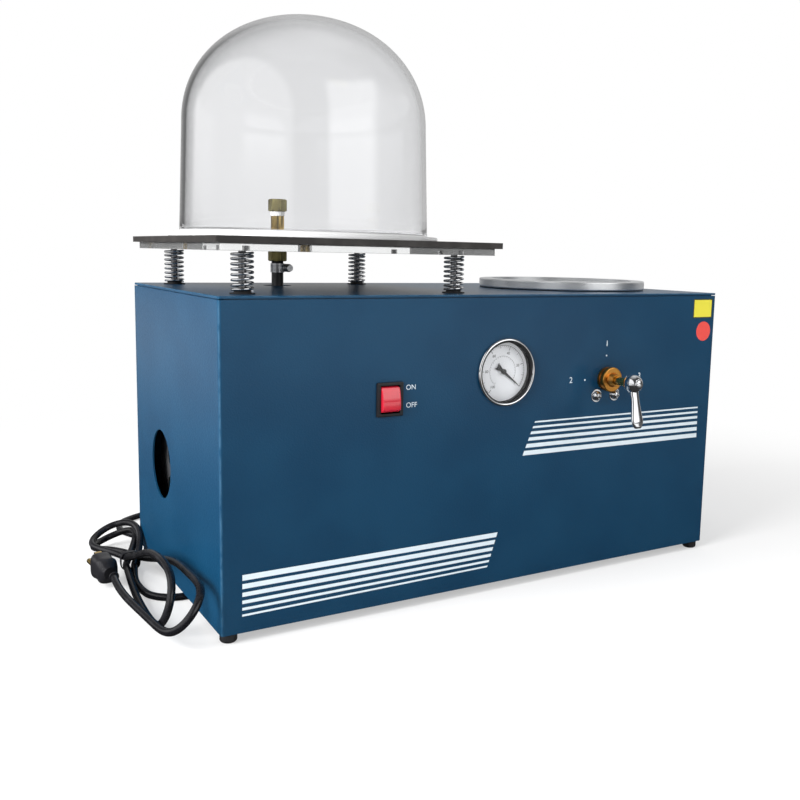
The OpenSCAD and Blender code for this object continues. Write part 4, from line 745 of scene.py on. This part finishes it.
# ---------------------------------------------------------------- vacuum gauge
# A chromed bezel holds a flat glass over a deep-set pale dial with a black scale and a spade
# needle; behind it are the movement, the case and a brass tee.
gauge_z = 204.0
chrome = metal("chrome", (0.80, 0.81, 0.82), (0.74, 0.75, 0.77), 0.08, 1.5, 0.004)
bezel = np.concatenate([[(27.9, 0.02), (30.4, 0.02), (30.9, 0.5)], arc(29.3, 1.3, 1.6, 0, 180, 24)])
bezel, bezel_faces = turned(bezel, 160)
fit(piece("rolled_bezel", [(on_front(bezel, 0, gauge_z), bezel_faces)], chrome, 50), "cabinet", "chrome",
    "gauge_bezel")
lens_glass = clear("lens_glass", (0.97, 0.98, 0.98), 1.30)
dress(lens_glass, "gauge_lens")
enamel = Finish("dial_enamel")
dial_white = enamel.put(
    Base_Color=enamel.mix(enamel.noise(12), (0.92, 0.92, 0.96), (0.94, 0.94, 0.97)),
    Roughness=0.45, Normal=enamel.bump(enamel.noise(0.6), 0.01),
)
dress(dial_white, "gauge_dial")
blackened = Finish("needle_enamel")
needle_black = blackened.put(Base_Color=blackened.mix(blackened.noise(2), (0.010, 0.010, 0.012), (0.02, 0.02, 0.022)),
                             Roughness=0.35)
dress(needle_black, "gauge_needle")
dress(polished_brass, "gauge_movement", "gauge_tee")
dark_metal = metal("dark_case", (0.05, 0.05, 0.055), (0.035, 0.035, 0.04), 0.40, 0.5, 0.02)
dress(dark_metal, "gauge_case")
# Black rings round the sunken dial and inside the bezel: the recess wall is real, and its black is painted shade for
# the shadow in that recess.
well, well_faces = turned([(27.9, -5.9), (27.1, -5.9), (27.1, -1.6), (27.9, -1.6)], 160)
lip, lip_faces = turned([(27.9, 0.05), (27.1, 0.05), (27.1, 1.9), (27.4, 2.3), (27.9, 2.3)], 160)
wall_and_shade_rings = [(on_front(well, 0, gauge_z), well_faces), (on_front(lip, 0, gauge_z), lip_faces)]
fit(piece("dial_wall_and_shade", wall_and_shade_rings, black_rubber), "cabinet")


def ring_bar(start, end, inner, outer, steps=2):
    """A flat strip on the dial between two angles in degrees and two radii."""
    angle = np.radians(np.linspace(start, end, steps))
    rows = [(inner, 0.0), (inner, 0.05), (outer, 0.05), (outer, 0.0)]
    points = np.stack([np.stack([r * np.cos(angle), r * np.sin(angle), h + 0 * angle], -1) for r, h in rows])
    points[..., 2] += -6.0 + 0.005
    return on_front(points, 0, gauge_z), grid_faces(4, steps, along=True)


scale_from, scale_sweep = -37.5, 270.0
ticks = []
for i in range(51):
    middle = scale_from + scale_sweep * i / 50
    long = i % 5 == 0
    half = (0.55 if i % 10 == 0 else 0.38 if long else 0.24)
    inner = 20.2 if i % 10 == 0 else 21.2 if long else 22.3
    ticks.append(ring_bar(middle - half, middle + half, inner, 23.8))
ticks.append(ring_bar(scale_from, scale_from + scale_sweep, 23.8, 24.1, 120))
ticks.append(ring_bar(scale_from, scale_from + scale_sweep, 14.2, 14.35, 120))
for i in range(6):
    bearing = math.radians(scale_from + scale_sweep * i / 5)
    cx, cz = 17.4 * math.cos(bearing), 17.4 * math.sin(bearing)
    ticks.append(lettering(str(20 * i), 3.6, lambda p, cx=cx, cz=cz: on_front(p + [0, 0, -5.97], cx, gauge_z + cz)))
for i in range(28):
    middle = scale_from + scale_sweep * i / 27
    ticks.append(ring_bar(middle - 0.5, middle + 0.5, 13.2 if i % 9 else 12.4, 14.2))
fit(piece("dial_scale", ticks, needle_black), "cabinet")


# ---------------------------------------------------------------- power switch
# A snap-in frame of black plastic with a glossy red rocker, whose upper half is pressed in.
def plastic(name, colour, rough, coat_weight=0.0, depth=0.006):
    """Moulded plastic: a faint mould grain, and a gloss that varies a little."""
    made = Finish(name)
    grain = made.noise(0.5, detail=3.0)
    lighter = tuple(min(1.0, 1.25 * c + 0.003) for c in colour)
    return made.put(
        Base_Color=made.mix(made.noise(8), colour, lighter),
        Roughness=rough - 0.06 + 0.12 * grain, Coat_Weight=coat_weight,
        Normal=made.bump(grain, depth),
    )


black_plastic = plastic("black_plastic", (0.006, 0.006, 0.008), 0.40)
dress(black_plastic, "switch_frame")
red_plastic = plastic("red_plastic", (0.46, 0.010, 0.026), 0.20, 1.0)


def rocker(width=17.0, radius=11.6, round_off=0.8):
    """Profile of two end arcs and a gently crowned face, carried across the width. Near both
    ends it shrinks towards its middle by a quarter circle, which rounds the side edges."""
    low, top = math.radians(7), math.radians(38)
    a = np.linspace(low, top, 12)
    rise, reach = radius * math.sin(top), radius * math.cos(top)
    front_face = np.linspace(reach, -reach, 31)[1:-1]
    crown = rise + 1.0 * (1 - (front_face / reach) ** 2)
    profile = np.concatenate([
        np.stack([radius * np.cos(a), radius * np.sin(a)], -1),
        np.stack([front_face, crown], -1),
        np.stack([-radius * np.cos(a[::-1]), radius * np.sin(a[::-1])], -1),
        [(-6, -3), (6, -3)],
    ])
    bend = np.linspace(0, np.pi / 2, 5)
    inset = round_off * np.concatenate([1 - np.sin(bend), (1 - np.sin(bend))[::-1]])
    at = width / 2 - round_off * (1 - np.cos(bend))
    across = np.concatenate([-at, at[::-1]])
    middle = np.array([0, 2.0])
    size = 1 - inset[:, None, None] / radius
    rows = middle + (profile - middle)[None] * size
    points = np.concatenate([across[:, None, None] + 0 * rows[..., :1], rows], -1)
    points = np.concatenate([points[:1] * [1, 0, 0] + [0, *middle], points, points[-1:] * [1, 0, 0] + [0, *middle]])
    return points, grid_faces(len(points), len(profile), across=True)


button, button_faces = rocker()
tilt = math.radians(-8)
button = np.stack([button[..., 0],
                   button[..., 1] * math.cos(tilt) - button[..., 2] * math.sin(tilt),
                   button[..., 1] * math.sin(tilt) + button[..., 2] * math.cos(tilt) - 3.0], -1)
fit(piece("red_rocker", [(on_front(button, -119, 187), button_faces)], red_plastic, 40),
    "rocker", "red_plastic", "switch_rocker")


# ---------------------------------------------------------------- lever valve
# A brass four-port body behind the panel, a turned nut on its neck, and a chromed lever that
# hangs from the stem; two domed screws with washers stand under the nut.
orange_brass = lathe("lacquered_brass", (0.85, 0.42, 0.10), (0.66, 0.28, 0.05), 0.26, (119, 0, 192))
valve_x, valve_z = 119.0, 192.0
dress(orange_brass, "valve_nut")
dress(polished_brass, "valve_body", "valve_spindle")
dress(zinc, "valve_bracket")


def lever_arm(steps=44, sides=32):
    """Blade below the hub, drawn hanging and then tipped outwards by the lean: its half width
    follows the drawn outline, and its section is a flattened oval."""
    down = np.linspace(3.5, 42, steps)
    drawn = [(3.5, 4.6), (8, 5.0), (13, 4.7), (18, 4.8), (24, 5.5), (30, 6.4), (34.5, 6.9), (37.5, 6.5),
             (40, 5.2), (41.6, 3.9), (42, 3.2)]
    half = np.interp(down, *zip(*drawn))[:, None]
    thick = np.interp(down, [3.5, 20, 36, 41, 42], [2.5, 2.4, 2.3, 1.7, 1.0])[:, None]
    angle = np.arange(sides) * 2 * np.pi / sides
    c, s = np.cos(angle), np.sin(angle)
    across = half * np.sign(c) * np.abs(c) ** 0.8
    out = thick * np.sign(s) * np.abs(s) ** 0.8
    lean = math.radians(12.5)
    points = np.stack([across, out * math.sin(lean) - down[:, None] * math.cos(lean),
                       38 + down[:, None] * math.sin(lean) + out * math.cos(lean)], -1)
    ends = [points[i].mean(0) + 0 * points[:1] for i in (0, -1)]
    return np.concatenate([ends[0], points, ends[1]]), grid_faces(steps + 2, sides, across=True)


hub_profile = np.concatenate([[(0, 42.05), (4.12, 42.05), (4.12, 30.6)], arc(0, 38, 9, -55, 55, 40),
                              [(4.8, 45.55), (4.6, 45.7), (4.5, 46.1), (4.0, 46.6), (2.9, 46.95), (1.5, 47.1),
                               (0, 47.14)]])
hub, hub_faces = turned(hub_profile, 72)
arm, arm_faces = lever_arm()
fit(piece("chrome_lever", [(on_front(hub, valve_x, valve_z), hub_faces),
                           (on_front(arm, valve_x, valve_z), arm_faces)], chrome, 50),
    "lever", "chrome", "valve_lever")
dome_head, dome_faces = screw(4, 5.2, 9.4, 4.5, 1.2)
washer, washer_faces = turned([(2.1, 0), (6.1, 0), (6.25, 0.15), (6.25, 0.65), (6.1, 0.8), (2.1, 0.8)], 48)
fixings = []
for dx in (-11.5, 11.5):
    fixings.append((on_front(dome_head + [0, 0, 0.8], valve_x + dx, 176), dome_faces))
    fixings.append((on_front(washer, valve_x + dx, 176), washer_faces))
fit(piece("domed_screws", fixings, chrome), "cabinet", "chrome", "valve_screws")


# ---------------------------------------------------------------- vacuum pump
# Cast housings with a rough grey skin, a sight glass over the oil, brass fittings, and a
# motor with its shaft, fan and cowl behind; all of it stands on rubber isolators.
cast = Finish("cast_housing")
grit = cast.noise(1.6, detail=4.0)
cast_finish = cast.put(
    Base_Color=cast.mix(cast.noise(30), (0.050, 0.053, 0.058), (0.085, 0.088, 0.093)),
    Roughness=0.45 + 0.2 * grit, Metallic=0.35, Normal=cast.bump(grit, 0.12),
)
dress(cast_finish, "oil_case", "pump_head", "motor_shell", "motor_ends", "fan_cowl")
dress(dark_metal, "pump_rail")
dress(polished_brass, "pump_fittings")
shaft_steel = lathe("shaft_steel", (0.55, 0.55, 0.56), (0.42, 0.42, 0.43), 0.28, (0, 41, 88))
dress(shaft_steel, "motor_shaft", "motor_bearings")
dress(black_plastic, "motor_fan")
oil_glass = clear("oil_glass", (0.86, 0.70, 0.22), 1.45, 0.02, 0.15)
dress(oil_glass, "sight_glass")


# ---------------------------------------------------------------- hoses inside the cabinet
# Four smooth rubber hoses join the table, the pump, the gauge's tee, the valve and the chamber.
def smooth_line(points, steps):
    """Catmull-Rom line: between two points it is a cubic whose slopes come from their
    neighbours, worked out at `steps` shares of the way."""
    points = np.asarray(points, float)
    last = len(points) - 1
    i = np.arange(last)[:, None]
    t = (np.arange(steps) / steps)[None, :, None]
    a, b, c, d = (points[np.clip(i + k, 0, last)] for k in (-1, 0, 1, 2))
    line = 0.5 * (2 * b + (c - a) * t + (2 * a - 5 * b + 4 * c - d) * t**2 + (3 * b - a - 3 * c + d) * t**3)
    return np.concatenate([line.reshape(-1, 3), points[-1:]])


valve_y = -112.5
routes = [
    ([(-142, 63, 223.7), (-142, 63, 218), (-142, 63, 204), (-125, 30, 176), (-60, -10, 164), (0, -60, 150),
      (45, -105, 166), (76, valve_y, 192), (85, valve_y, 192), (90, valve_y, 192)], (1, 0, 0)),
    ([(-161.5, 41, 184), (-161.5, 41, 189), (-161.5, 41, 197), (-130, 10, 228), (-90, -60, 226), (-40, -90, 204),
      (-29, -90, 204), (-24, -90, 204)], (1, 0, 0)),
    ([(24, -90, 204), (29, -90, 204), (40, -90, 204), (72, -74, 168), (100, -92, 134), (119, valve_y, 149),
      (119, valve_y, 158), (119, valve_y, 163)], (0, 0, 1)),
    ([(148, valve_y, 192), (153, valve_y, 192), (162, valve_y, 192), (212, -112, 172), (236, -105, 110),
      (224, -75, 58), (194, -40, 37), (168, -20, 39), (154.7, -12.7, 62), (154.7, -12.7, 71),
      (154.7, -12.7, 76)], (0, 0, 1)),
]
hoses = piece("pump_hoses", [sweep(smooth_line(p, 10), 5.8, 20, first) for p, first in routes], hose_rubber)
fit(hoses, "cabinet", "black_rubber", "vacuum_hoses")


# ---------------------------------------------------------------- mains cord
# A black round cord leaves the back through a ribbed relief, dips to the bench, runs under the
# cabinet and lies beside it as a loosely tied hank of figure-of-eight loops.
cord_d = 6.5
rest = cord_d / 2 + 0.1
hank_x, hank_y = -287.0, 78.0


def loop(direction, reach, half, rise, shift, square, lift, bend, slant, start, end, steps):
    """One loop out from the tied waist and back. Its reach and width follow one and two half
    waves, its right side is raised, and near the waist it keeps to its lane."""
    t = np.asarray(steps, float)
    s = np.sin(np.pi * t)
    w = (np.sin(2 * np.pi * t) + square * np.sin(6 * np.pi * t)) / (1 - square)
    close = 1 - s * s
    k = (t * t * (3 - 2 * t))[:, None]
    lane = (np.array(start) * (1 - k) + np.array(end) * k) * close[:, None]
    along = direction * reach * s
    raised = rise * (1 - (1 - s) ** 2) * np.clip((w + 1) / 2, 0, None) ** bend
    return np.stack([
        hank_x + lane[:, 0] * (cord_d + 1.6) + shift * s * s + half * w + slant * along,
        hank_y + along,
        rest + lane[:, 1] * (cord_d + 1.5) + lift * s * s + 1.5 * close + raised,
    ], -1)


turn_steps = np.arange(24) / 24
hank = np.concatenate([
    loop(1, 69.5, 20.3, 15, -0.5, -0.02, 14, 1.15, -0.067, (0.5, 0), (-0.5, 1), turn_steps),
    loop(-1, 177, 6.6, 46.4, 1.4, 0.073, 0, 1, 0.063, (-0.5, 1), (-0.5, 0), turn_steps),
    loop(1, 83, 21.3, 14, 4.2, -0.024, 0.3, 1.2, -0.069, (-0.5, 0), (0.5, 1), turn_steps),
    loop(-1, 215, 14, 33, -4.4, 0.13, 12, 1.05, -0.003, (0.5, 1), (-2.25, 1.1), np.arange(23) / 24),
])
gx, by, gz = -200.0, 132.0, 40.0
lead = [(gx, by + 32, gz), (gx, by + 50, gz - 1), (gx - 2, by + 73, gz - 12), (gx - 8, by + 92, gz - 25),
        (gx - 22, by + 107, rest + 4), (gx - 44, by + 109, rest + 0.3), (gx - 64, by + 93, rest),
        (gx - 70, by + 66, rest), (gx - 60, by + 39, rest), (gx - 44, by + 12, rest), (gx - 33, 110, rest),
        (gx - 29, 70, rest), (gx - 29, 36, rest), (-230, 10, rest), (-234, -7, rest), (-245.5, -18.5, rest),
        (-261, -22.5, rest), (-276.5, -18.5, rest), (-288, -7, rest), (-292, 10, rest), (-292, 34, rest),
        (-288, 57, rest + 0.5), tuple(hank[0])]
coarse = np.concatenate([smooth_line(lead, 3)[:-1], hank])
cord_line = smooth_line(coarse, 3)
sheath = rubber("cord_sheath", (0.0045, 0.0045, 0.006), 0.26, 0.7, 0.006)
cord = piece("mains_cord", [sweep(cord_line, cord_d / 2, 20, (1, 0, 0))], sheath)
fit(cord, "cabinet", "cord_black", "cord_lead", "cord_hank")

u = np.linspace(0, 1, 65)
cone = 7.0 - u * (7.0 - (cord_d + 2.5) / 2)
ribs = 0.7 * (np.sin(u * 2 * np.pi * 6.5) > 0.2) * (u > 0.1) * (u < 0.95)
relief_profile = [(0, -7.5), (7.4, -7.5), (7.5, -7), (7.5, 0), (10.2, 0), (10.5, 0.4), (10.5, 2.4), (9.9, 3.0),
                  (7.6, 3.2)]
relief_profile += list(zip(np.maximum(cone - ribs, 3.7), 3.4 + u * 28.5)) + [(3.4, 32), (0, 32)]
relief, relief_faces = turned(relief_profile, 48)
relief = np.stack([gx + relief[..., 0], by + relief[..., 2], gz - relief[..., 1]], -1)
fit(piece("ribbed_relief", [(relief, relief_faces)], black_plastic), "cabinet", "black_plastic", "strain_relief")


def loft(stations, sides=48, power=2.6):
    """A body along Z from stations (height, half width, half depth, power): each section is a
    superellipse, from round at power 2 to nearly square."""
    h, a, b, n = (np.array(v)[:, None] for v in zip(*stations))
    angle = np.arange(sides) * 2 * np.pi / sides
    c, s = np.cos(angle), np.sin(angle)
    points = np.stack([a * np.sign(c) * np.abs(c) ** (2 / n), b * np.sign(s) * np.abs(s) ** (2 / n), h + 0 * c], -1)
    return points, grid_faces(len(stations), sides, across=True)


plug_turn = math.radians(6)


def at_plug(points):
    """Points of the plug, with Z along the cord's end, in their place at the hank's end."""
    px, py, pz = -points[..., 1], points[..., 2], -points[..., 0]
    return hank[-1] + np.stack([px * math.cos(plug_turn) - py * math.sin(plug_turn),
                                px * math.sin(plug_turn) + py * math.cos(plug_turn), pz], -1)


neck = [(0.0001 - 2, 0.001, 0.001, 2), (-2, 4.4, 4.4, 2)]
neck += [(z, 4.5 + 0.11 * (z + 2) - (0.55 if i % 2 else 0), 4.5 + 0.11 * (z + 2) - (0.55 if i % 2 else 0), 2)
         for i, z in enumerate(np.linspace(-1.2, 9.6, 13).repeat(2)[1:-1])]
shell = [(11, 6.4, 6.2, 2.1), (13, 9.2, 7.6, 2.3), (15.5, 11.2, 8.8, 2.8), (18, 11.8, 9.3, 3.2), (24, 11.0, 9.0, 3.2),
         (30, 11.3, 9.2, 3.4), (36, 11.9, 9.4, 3.6), (37.4, 11.8, 9.3, 3.6), (38, 11.2, 8.8, 3.4), (38, 0.001, 0.001, 2)]
plug, plug_faces = loft(neck + shell)
plug_piece = piece("moulded_plug", [(at_plug(plug), plug_faces)], plastic("plug_vinyl", (0.008, 0.008, 0.010), 0.36))
fit(plug_piece, "cabinet", "cord_black", "plug_body")
dress(polished_brass, "plug_pins")

band_angle = np.arange(64) * 2 * np.pi / 64
c, s = np.cos(band_angle), np.sin(band_angle)
tie_rows = []
for half_w, half_h, y in [(8.5, 8.3, 75.5), (9.2, 9.0, 75.6), (9.3, 9.1, 78), (9.2, 9.0, 80.4), (8.5, 8.3, 80.5)]:
    tie_rows.append(np.stack([hank_x + half_w * np.sign(c) * np.abs(c) ** 0.62, y + 0 * c,
                              9.2 + half_h * np.sign(s) * np.abs(s) ** 0.62], -1))
tie = piece("cord_band", [(np.stack(tie_rows)[::-1], grid_faces(5, 64, across=True, along=True))], black_plastic)
fit(tie, "cabinet", "black_plastic", "cord_tie")
